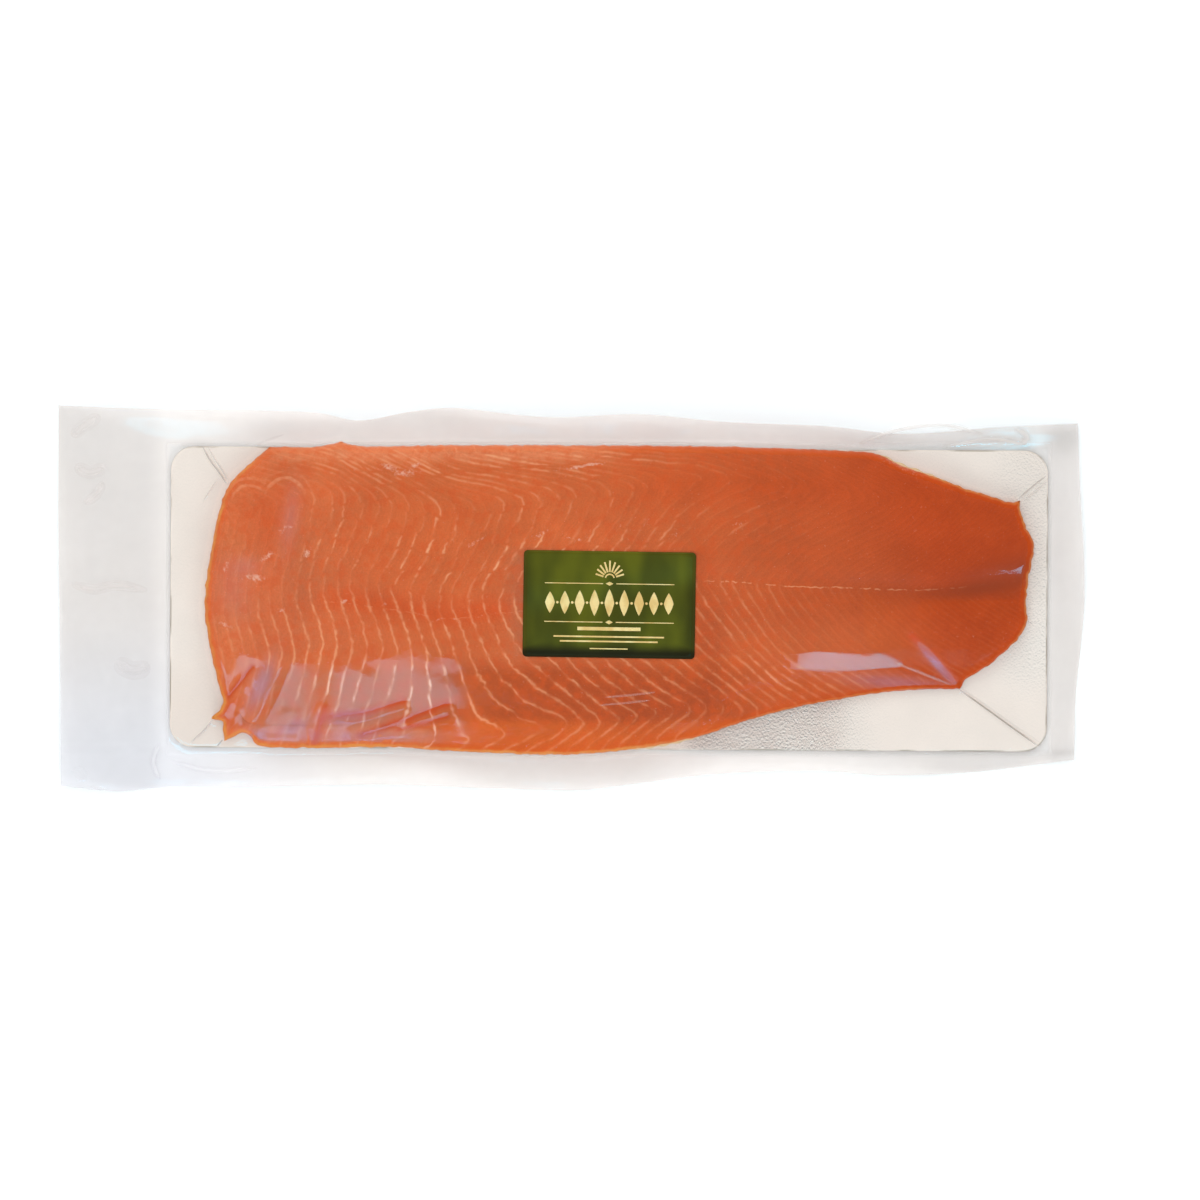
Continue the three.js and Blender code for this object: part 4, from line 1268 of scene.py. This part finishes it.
def build_film(look):
    """The upper film, the lower film and the creases of the upper one."""
    field, under = bag_field(), bag_field()
    under.z = margin_lift(under)
    field.z = film_heights(look, field.x, field.y, under.z)
    plan = patch_between(BAG_EDGE, *FILM_STEPS).reshape(-1, 2)
    x, y = plan.T
    parted = 0.18 + 0.82 * ease(off_rim(plan, grid_rim(*FILM_STEPS)), 0, SEAL_WIDTH)
    floor = under.at(x, y) + SEAL_GAP
    points = np.column_stack([plan, floor + (field.at(x, y) - floor) * parted])
    upper = make_piece("film_upper", points, grid_faces(*FILM_STEPS), [film_material("upper_film")])
    outside = off_board(x, y)
    haze = look.haze_tight + (look.haze_loose - look.haze_tight) * ease(outside, *BOARD_RIM)
    haze *= (1 + 0.05 * ripple(x, y, 60, 31)) * (1 - 0.2 * ease(y, -92, -98) * ease(x, 230, 170))
    # Milkiness where the film stands off; with its lavender veil it is partly a painted reflection.
    haze += spots(x, y, SLACK_REFLECTIONS) * ease(outside, 0, -3)
    mark_film(upper, look, x, y, haze, 1 - gloss_cut(field, x, y, outside))
    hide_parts("vacuum_bag")

    plan = patch_between(BAG_EDGE, *BASE_STEPS).reshape(-1, 2)
    x, y = plan.T
    points = np.column_stack([plan, under.at(x, y) + BASE_GAP])
    faces = grid_faces(*BASE_STEPS)[:, ::-1]
    lower = make_piece("film_lower", points, faces, [film_material("lower_film")])
    mark_film(lower, look, x, y, np.full(len(x), look.haze_loose))
    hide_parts("vacuum_bag")

    build_creases(look, field)


def build_creases(look, field):
    """Pinched folds of the upper film, each a low ridge that runs out at its ends."""
    points, faces, dark = [], [], []
    for places, half_width, height, pinch in CREASES:
        line = curve_through(places, 10)
        fade = np.sqrt(np.clip(np.sin(math.pi * np.linspace(0, 1, len(line))) * 1.6, 0, 1))
        start = len(points)
        for place, normal, size in zip(line, side_of(line), fade):
            for offset, rise in CREASE_SECTION:
                spot = place + normal * offset * half_width * (0.25 + 0.75 * size)
                points.append((*spot, float(field.at(*spot)) + CREASE_GAP + height * rise * size))
                dark.append(pinch * size * ease(abs(offset), 0.62, 0.22))
        faces += (grid_faces(len(line) - 1, len(CREASE_SECTION) - 1) + start).tolist()
    points, dark = np.array(points), np.array(dark)
    x, y = points[:, :2].T
    creases = make_piece("film_creases", points, faces, [film_material("creased_film")])
    # Milkiness of each pinch; on the milky creases it is partly a painted whitish sheen.
    store(creases, "haze", look.haze_crease + (PINCH_HAZE - look.haze_crease) * np.abs(dark))
    # Creases in the margin mirror little, and so does the soft one near the tail.
    margin = np.maximum(np.abs(x - 20) - 279, np.abs(y) - 96)
    gloss = (1 - 0.93 * ease(margin, 0, 3)) * (1 - 0.65 * blob(x, y, (232, -42), 20, 6, -46))
    store(creases, "gloss", gloss)
    # Painted shade: the core of a dark pinch takes the pinch colour.
    dark = np.maximum(dark, 0)[:, None]
    store_colour(creases, "veil", veil(look, x, y) * (1 - dark) + np.array(look.pinch) * dark)


# ------------------------------------------------------------------ the label


def label_frame(along, across):
    """Places on the table for places on the label, from its centre."""
    angle = math.radians(LABEL_TURN)
    x = LABEL_CENTRE[0] + along * math.cos(angle) - across * math.sin(angle)
    y = LABEL_CENTRE[1] + along * math.sin(angle) + across * math.cos(angle)
    return x, y


def build_label(look, surface):
    """The label: thin paper with round corners that follows the fish below it."""
    rings = []
    for share in np.linspace(1, 0.06, 16):
        corner = max(LABEL_CORNER * share, 0.2)
        size = np.array(LABEL_SIZE) * share
        rings.append(rounded_loop(size, corner, side_steps=(40, 26), arc_steps=7))
    count = len(rings[0])
    local = np.vstack(rings)
    x, y = label_frame(*local.T)
    along, across = np.abs(local).T
    lie = surface.at(x, y) + LABEL_GAP + 0.25 * ease(along, 46, 55) * ease(across, 26, 34)
    points = np.vstack([np.column_stack([x, y, lie + look.paper / MM]), np.column_stack([x, y, lie])])
    face = stacked_rings(count, len(rings)) + [list(range(len(local) - count, len(local)))]
    back = [[i + len(local) for i in reversed(corners)] for corners in face]
    side = band_faces(np.arange(count) + len(local), np.arange(count)).tolist()
    label = make_piece("label_paper", points, face + back + side, [label_material(look)])
    store(label, "along", np.tile(local[:, 0], 2))
    store(label, "across", np.tile(local[:, 1], 2))
    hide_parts("label")


def ribbon(places, width):
    """Both sides of a strip of even width along a line of places, as two lists of places."""
    line = np.array(places, float)
    side = side_of(line) * width / 2
    return line - side, line + side


def stamped_shapes():
    """The label's ornament: closed outlines, and strips with two sides."""
    shapes, strips = [], []

    def dot(x, y, radius):
        """Adds a disc."""
        turns = np.linspace(0, 2 * math.pi, 20, endpoint=False)
        shapes.append(np.column_stack([x + radius * np.cos(turns), y + radius * np.sin(turns)]))

    def leaf(x, y, half_width, half_height, bow=0.0):
        """Adds a shape with four points, whose sides bow outwards."""
        t = np.linspace(0, 1, 7, endpoint=False)[:, None]
        corners = np.array([(half_width, 0), (0, half_height), (-half_width, 0), (0, -half_height)])
        loop = []
        for a, b in zip(corners, np.roll(corners, -1, 0)):
            middle = (a + b) / 2 * (1 + bow)
            loop.append(a * (1 - t) ** 2 + middle * 2 * t * (1 - t) + b * t**2)
        shapes.append(np.vstack(loop) + (x, y))

    def rule(x0, x1, y, width):
        """Adds a level bar."""
        x = np.linspace(x0, x1, max(3, int(abs(x1 - x0) / 2)))
        strips.append(ribbon(np.column_stack([x, np.full(len(x), y)]), width))

    # A row of upright leaf shapes and dots between two rules.
    for i in range(-4, 5):
        leaf(i * LEAF_SPACING, 1.0, 3.1, 8.8 - 0.5 * abs(i), 0.25)
    for i in range(-4, 4):
        dot((i + 0.5) * LEAF_SPACING, 1.0, 0.8)
    for y in (13.2, -11.2):
        rule(-41, -4.2, y, 0.55)
        rule(4.2, 41, y, 0.55)
        leaf(0, y, 2.4, 1.3)
    # A fan of rays over a small arc at the top.
    for i in range(-4, 5):
        angle = math.radians(90 + i * 18)
        reach = np.linspace(4.2, 11.4 - 0.5 * abs(i), 4)
        ray = [(math.cos(angle) * r, FAN_FOOT + math.sin(angle) * r) for r in reach]
        strips.append(ribbon(ray, 1.1))
    turns = np.radians(np.linspace(10, 170, 14))
    strips.append(ribbon(np.column_stack([2.8 * np.cos(turns), FAN_FOOT + 2.8 * np.sin(turns)]), 0.9))
    # Short bars low down.
    for half, y, width in ((20, -15.4, 2.2), (35, -20.4, 1.0), (31, -23.4, 1.0), (12, -28.0, 0.7)):
        rule(-half, half, y, width)
    return shapes, strips


def build_stamping(look, surface):
    """The gold ornament as thin raised shapes that lie on the label."""
    points, faces = [], []

    def lift(places, above):
        """Points at a height above the paper for places on the label."""
        x, y = label_frame(*places.T)
        return np.column_stack([x, y, surface.at(x, y) + LABEL_GAP + look.paper / MM + above])

    def add_solid(places, cap, loop):
        """Adds a cap's faces twice, a little apart, and the band between their loops."""
        start, count = sum(len(part) for part in points), len(places)
        points.extend([lift(places, look.stamp / MM), lift(places, -STAMP_SINK)])
        for face in cap:
            faces.append([start + i for i in face])
            faces.append([start + count + i for i in reversed(face)])
        loop = np.array(loop) + start
        faces.extend(band_faces(loop + count, loop).tolist())

    shapes, strips = stamped_shapes()
    for outline in shapes:
        ring = len(outline)
        cap = [(i, (i + 1) % ring, ring) for i in range(ring)]
        add_solid(np.vstack([outline, outline.mean(0)]), cap, range(ring))
    for left, right in strips:
        length = len(left)
        cap = [(i, i + 1, length + i + 1, length + i) for i in range(length - 1)]
        loop = [*range(length), *reversed(range(length, 2 * length))]
        add_solid(np.vstack([left, right]), cap, loop)
    stamping = make_piece("label_stamping", np.vstack(points), faces, [gold_material(look)], flat=True)


# ------------------------------------------------------------------ the stage


def aim(thing, place, target):
    """Puts a lamp or camera at a place in metres, looking at a target."""
    thing.location = place
    heading = Vector(target) - Vector(place)
    thing.rotation_euler = heading.to_track_quat("-Z", "Y").to_euler()


def add_panel(name, place, target, size, radiance, colour, mirrored=False):
    """A soft panel by size and brightness, which is either only mirrored or only lights."""
    lamp = bpy.data.lights.new(name, "AREA")
    lamp.shape = "RECTANGLE"
    lamp.size, lamp.size_y = size
    lamp.energy = radiance * 4 * size[0] * size[1]
    lamp.color = colour
    panel = bpy.data.objects.new(name, lamp)
    panel.visible_camera = False
    panel.visible_glossy = mirrored
    panel.visible_diffuse = not mirrored
    bpy.context.scene.collection.objects.link(panel)
    aim(panel, place, target)


def bearing(zenith, azimuth, distance):
    """A place by its angle off straight above and its bearing, where 0 is +X."""
    z, a = math.radians(zenith), math.radians(azimuth)
    return Vector((math.sin(z) * math.cos(a), math.sin(z) * math.sin(a), math.cos(z))) * distance


def build_world(look):
    """Soft light from all round, dim straight above so that flat film stays clear."""
    world = bpy.data.worlds.new("studio")
    bpy.context.scene.world = world
    world.use_nodes = True
    w = Wiring(world.node_tree)
    around = w.add("ShaderNodeTexCoord").outputs["Generated"]
    up = w.add("ShaderNodeSeparateXYZ", {0: around}).outputs[2]
    background = world.node_tree.nodes["Background"]
    w.feed(background.inputs["Color"], w.mix(w.ramp(up, 0.45, 0.9), look.horizon, look.zenith))
    background.inputs["Strength"].default_value = look.ambient


def build_floor(look):
    """The sheet of studio paper under the pack."""
    mesh = bpy.data.meshes.new("studio_floor")
    corners = [(x, y, -FLOOR_DROP) for x, y in ((-1, -1), (1, -1), (1, 1), (-1, 1))]
    corners = [(x * FLOOR_REACH, y * FLOOR_REACH, z) for x, y, z in corners]
    mesh.from_pydata(corners, [], [(0, 1, 2, 3)])
    mesh.materials.append(floor_material(look))
    floor = bpy.data.objects.new("studio_floor", mesh)
    bpy.context.scene.collection.objects.link(floor)


def build_camera(look):
    """The camera, straight above the pack."""
    camera = bpy.data.cameras.new("camera")
    camera.sensor_width = SENSOR
    camera.lens = SENSOR * (look.camera_height - PACK_MIDDLE * MM) / (PICTURE_WIDTH * MM)
    camera.clip_end = 100
    eye = bpy.data.objects.new("camera", camera)
    bpy.context.scene.collection.objects.link(eye)
    eye.location = (CAMERA_AIM[0] * MM, CAMERA_AIM[1] * MM, look.camera_height)
    bpy.context.scene.camera = eye


def build_stage(look):
    """Floor, light and camera."""
    build_floor(look)
    build_world(look)
    for name, zenith, azimuth, size, share in PANELS:
        place = bearing(zenith, azimuth, PANEL_DISTANCE)
        add_panel(name, place, (0, 0, 0), size, look.panels * share, look.panel_colour)
    # A cool window with a wide post between its two lights.
    sill = bearing(*WINDOW_BEARING)
    for name, left, right, tall, share in WINDOW_LIGHTS:
        across = Vector(((left + right) / 2, (tall - WINDOW_SILL) / 2, 0))
        size = (right - left, tall)
        add_panel(name, sill + across, across, size, look.window * share, look.window_colour, True)
    build_camera(look)
    bpy.context.scene.view_settings.view_transform = "Standard"
    bpy.context.scene.view_settings.look = "None"


# ------------------------------------------------------------------ settings, operators, panel


def size_prop(name, description, millimetres):
    """A length, given in millimetres and kept in metres."""
    return FloatProperty(
        name=name, description=description, default=millimetres * MM, min=0, precision=5, unit="LENGTH"
    )


def share_prop(name, description, default):
    """A share of 0 to 1."""
    return FloatProperty(
        name=name, description=description, default=default, min=0, max=1, subtype="FACTOR"
    )


def strength_prop(name, description, default):
    """A strength of light, of 0 or more."""
    return FloatProperty(name=name, description=description, default=default, min=0)


def colour_prop(name, description, default):
    """A linear colour."""
    return FloatVectorProperty(
        name=name, description=description, default=default, min=0, max=1, size=3, subtype="COLOR"
    )


def turn_prop(name, description, degrees):
    """An angle, given in degrees."""
    return FloatProperty(
        name=name, description=description, default=math.radians(degrees), subtype="ANGLE"
    )


class FleshLook(bpy.types.PropertyGroup):
    """Sizes and colours of the fish."""

    edge_round: size_prop("Edge round", "How far in from its edge the flesh rounds over", 4)
    tuck: size_prop("Tuck", "How far the side leans in at the board", 1.4)
    middle_tone: colour_prop("Middle", "Flesh in the middle of the fish", linear(198, 96, 49))
    head_tone: colour_prop("Head", "Flesh at the head end", linear(201, 101, 58))
    tail_tone: colour_prop("Tail", "Flesh at the tail end", linear(168, 60, 13))
    belly_tone: colour_prop("Belly", "Flesh along the belly", linear(198, 89, 33))
    pale_tone: colour_prop("Pale", "Flesh near the back edge and low at the head", linear(214, 118, 70))
    # Also painted beside the label's left edge as its shadow.
    muted_tone: colour_prop("Muted", "Flesh beside the label", linear(172, 98, 66))
    red_tone: colour_prop("Red", "Flesh along the bone row", linear(200, 78, 26))
    # Also painted beside the label's right edge as its shadow.
    brown_tone: colour_prop("Brown", "Flesh between the side and the belly", linear(171, 74, 31))
    fat_colour: colour_prop("Fat", "Fat lines", linear(229, 158, 114))
    line_colour: colour_prop("Line edge", "Flesh beside a fat line", linear(213, 116, 70))
    tissue_colour: colour_prop("Tissue", "Scraps of pale tissue", linear(226, 178, 154))
    # Also painted as shade beside the label's right edge and low on the belly.
    dusk_colour: colour_prop("Dusk", "Brown flesh near the bone row", linear(148, 57, 22))
    # Painted shade in the valleys of the belly flap's folds.
    fold_shade_colour: colour_prop("Fold", "Flesh in the valleys of the belly flap", linear(196, 66, 16))
    edge_colour: colour_prop("Edge", "Dried amber edge", linear(212, 140, 66))
    membrane_colour: colour_prop("Membrane", "Scrap of belly membrane", linear(222, 188, 146))
    deep_colour: colour_prop("Deep orange", "Flesh near the edge", linear(200, 74, 18))
    skin_colour: colour_prop("Skin", "Silver skin low on the side", linear(188, 160, 130))


class BoardLook(bpy.types.PropertyGroup):
    """Sizes and colours of the board."""

    length: size_prop("Length", "Length of the board", 558)
    width: size_prop("Width", "Width of the board", 191.5)
    corner: size_prop("Corner", "Radius of the corners", 15)
    turn: turn_prop("Turn", "Turn about its centre", -0.3)
    foil_colour: colour_prop("Foil", "Champagne foil face", linear(238, 219, 205))
    # Painted shade of foil that turns from the light, and painted shade and highlight on the embossed
    # relief's slopes.
    foil_turned_shade: colour_prop("Dull foil", "Foil that turns from the light", linear(207, 174, 160))
    foil_relief_shade: colour_prop("Foil hollows", "Hollows of the embossed foil", linear(118, 104, 98))
    foil_relief_highlight: colour_prop("Foil peaks", "Peaks of the embossed foil", linear(255, 246, 236))
    # Bared card along the foil's edge, which also serves as painted shade along the board's edge.
    worn_and_shade_colour: colour_prop("Worn edge", "Card bared along the edge of the foil", linear(172, 154, 138))
    card_colour: colour_prop("Card", "Card core and back", linear(206, 196, 182))


class PouchLook(bpy.types.PropertyGroup):
    """Sizes and colours of the bag."""

    clearance: size_prop("Clearance", "Film above the flesh", 0.15)
    wrinkle: size_prop("Wrinkle", "Height of the margin's wrinkles", 0.6)
    pucker: size_prop("Pucker", "Height of the film's puckers over the belly flap", 0.035)
    span: size_prop("Span", "How far the film spans the hollow on the belly side", 0.65)
    haze_tight: share_prop("Tight haze", "Milkiness where the film clings", 0.002)
    haze_loose: share_prop("Loose haze", "Milkiness of one film of the margin", 0.38)
    haze_crease: share_prop("Crease haze", "Milkiness of the creases", 0.08)
    # Double film of a pinched crease, painted darker as shade.
    pinch: colour_prop("Pinch", "Pinched creases", linear(150, 136, 124))
    veil_warm: colour_prop("Warm veil", "Milky film", linear(252, 242, 237))
    # Milky slack film, tinted lavender as a painted reflection.
    veil_slack_reflection: colour_prop("Slack veil", "Film that stands off the flesh", linear(190, 178, 206))
    veil_cool: colour_prop("Cool veil", "Milky film in the cool light", linear(248, 244, 248))


class LabelLook(bpy.types.PropertyGroup):
    """Sizes and colours of the label."""

    paper: size_prop("Paper", "Thickness of the label", 0.25)
    stamp: size_prop("Stamp", "Height of the gold above the paper", 0.06)
    # Green is the paper's painted sheen, dark green the paper between the bands, and shaded green its
    # painted shade.
    green: colour_prop("Green", "Lit foil paper", linear(100, 97, 17))
    green_dark: colour_prop("Dark green", "Streaks of the foil paper", linear(72, 70, 13))
    green_shade: colour_prop("Shaded green", "Lower edge and sides", linear(32, 24, 4))
    # Gold is the stamping in its painted sheen bands; dark gold lies between them, where it is also
    # rougher.
    gold: colour_prop("Gold", "Lit stamping", linear(255, 217, 146))
    gold_dark: colour_prop("Dark gold", "Dull stamping", linear(232, 182, 106))


class StageLook(bpy.types.PropertyGroup):
    """Light, floor and camera."""

    floor_colour: colour_prop("Floor", "Studio paper", (0.93, 0.93, 0.93))
    horizon: colour_prop("Horizon", "Light from the sides", (1.0, 0.985, 0.96))
    zenith: colour_prop("Zenith", "Light from straight above", (0.14, 0.14, 0.14))
    ambient: strength_prop("Ambient", "Strength of the light all round", 1.0)
    panels: strength_prop("Panels", "Brightness of the soft panels", 1.7)
    panel_colour: colour_prop("Panel colour", "Light of the soft panels", (0.84, 0.935, 0.98))
    window: strength_prop("Window", "Brightness of the cool window", 7.4)
    window_colour: colour_prop("Window colour", "Light of the cool window", (0.12, 0.7, 1.0))
    camera_height: size_prop("Camera height", "Camera above the table", 3600)


class PackLook(bpy.types.PropertyGroup):
    """Everything a user may change about the pack."""

    flesh: PointerProperty(type=FleshLook)
    board: PointerProperty(type=BoardLook)
    pouch: PointerProperty(type=PouchLook)
    label: PointerProperty(type=LabelLook)
    stage: PointerProperty(type=StageLook)


class SALMON_OT_flesh(bpy.types.Operator):
    """Builds the side of smoked fish"""

    bl_idname = "salmon.flesh"
    bl_label = "Fish"

    def execute(self, context):
        build_flesh(context.scene.salmon_pack.flesh)
        build_fringes(context.scene.salmon_pack.flesh)
        return {"FINISHED"}


class SALMON_OT_board(bpy.types.Operator):
    """Builds the foil board under the fish"""

    bl_idname = "salmon.board"
    bl_label = "Board"

    def execute(self, context):
        build_board(context.scene.salmon_pack.board)
        return {"FINISHED"}


class SALMON_OT_pouch(bpy.types.Operator):
    """Builds the films of the bag round the fish and board"""

    bl_idname = "salmon.pouch"
    bl_label = "Bag"

    def execute(self, context):
        build_film(context.scene.salmon_pack.pouch)
        return {"FINISHED"}


class SALMON_OT_label(bpy.types.Operator):
    """Builds the label on the film, with its stamping"""

    bl_idname = "salmon.label"
    bl_label = "Label"

    def execute(self, context):
        look = context.scene.salmon_pack
        # The film under the label lies on the fish, well away from the lifted margin.
        surface = bag_field()
        heights = film_heights(look.pouch, surface.x, surface.y, lift=0)
        surface.z = blur(heights, LABEL_BLUR)
        build_label(look.label, surface)
        build_stamping(look.label, surface)
        return {"FINISHED"}


class SALMON_OT_stage(bpy.types.Operator):
    """Builds the floor, lights and camera"""

    bl_idname = "salmon.stage"
    bl_label = "Stage"

    def execute(self, context):
        build_stage(context.scene.salmon_pack.stage)
        return {"FINISHED"}


class SALMON_PT_pack(bpy.types.Panel):
    """Lists the pack's operators and settings"""

    bl_idname = "SALMON_PT_pack"
    bl_label = "Salmon pack"
    bl_space_type = "VIEW_3D"
    bl_region_type = "UI"
    bl_category = "Salmon pack"

    def draw(self, context):
        for name in ("flesh", "board", "pouch", "label", "stage"):
            box = self.layout.box()
            box.operator("salmon." + name)
            look = getattr(context.scene.salmon_pack, name)
            for key in look.bl_rna.properties.keys():
                if key not in ("rna_type", "name"):
                    box.prop(look, key)


CLASSES = (
    FleshLook, BoardLook, PouchLook, LabelLook, StageLook, PackLook, SALMON_OT_flesh,
    SALMON_OT_board, SALMON_OT_pouch, SALMON_OT_label, SALMON_OT_stage, SALMON_PT_pack,
)


def register():
    """Adds the settings, operators and panel to Blender."""
    for cls in CLASSES:
        bpy.utils.register_class(cls)
    bpy.types.Scene.salmon_pack = PointerProperty(type=PackLook)


def unregister():
    """Takes them away again."""
    del bpy.types.Scene.salmon_pack
    for cls in reversed(CLASSES):
        bpy.utils.unregister_class(cls)


def main():
    """Builds the whole pack."""
    register()
    bpy.ops.salmon.flesh()
    bpy.ops.salmon.board()
    bpy.ops.salmon.pouch()
    bpy.ops.salmon.label()
    bpy.ops.salmon.stage()


if __name__ == "__main__":
    main()
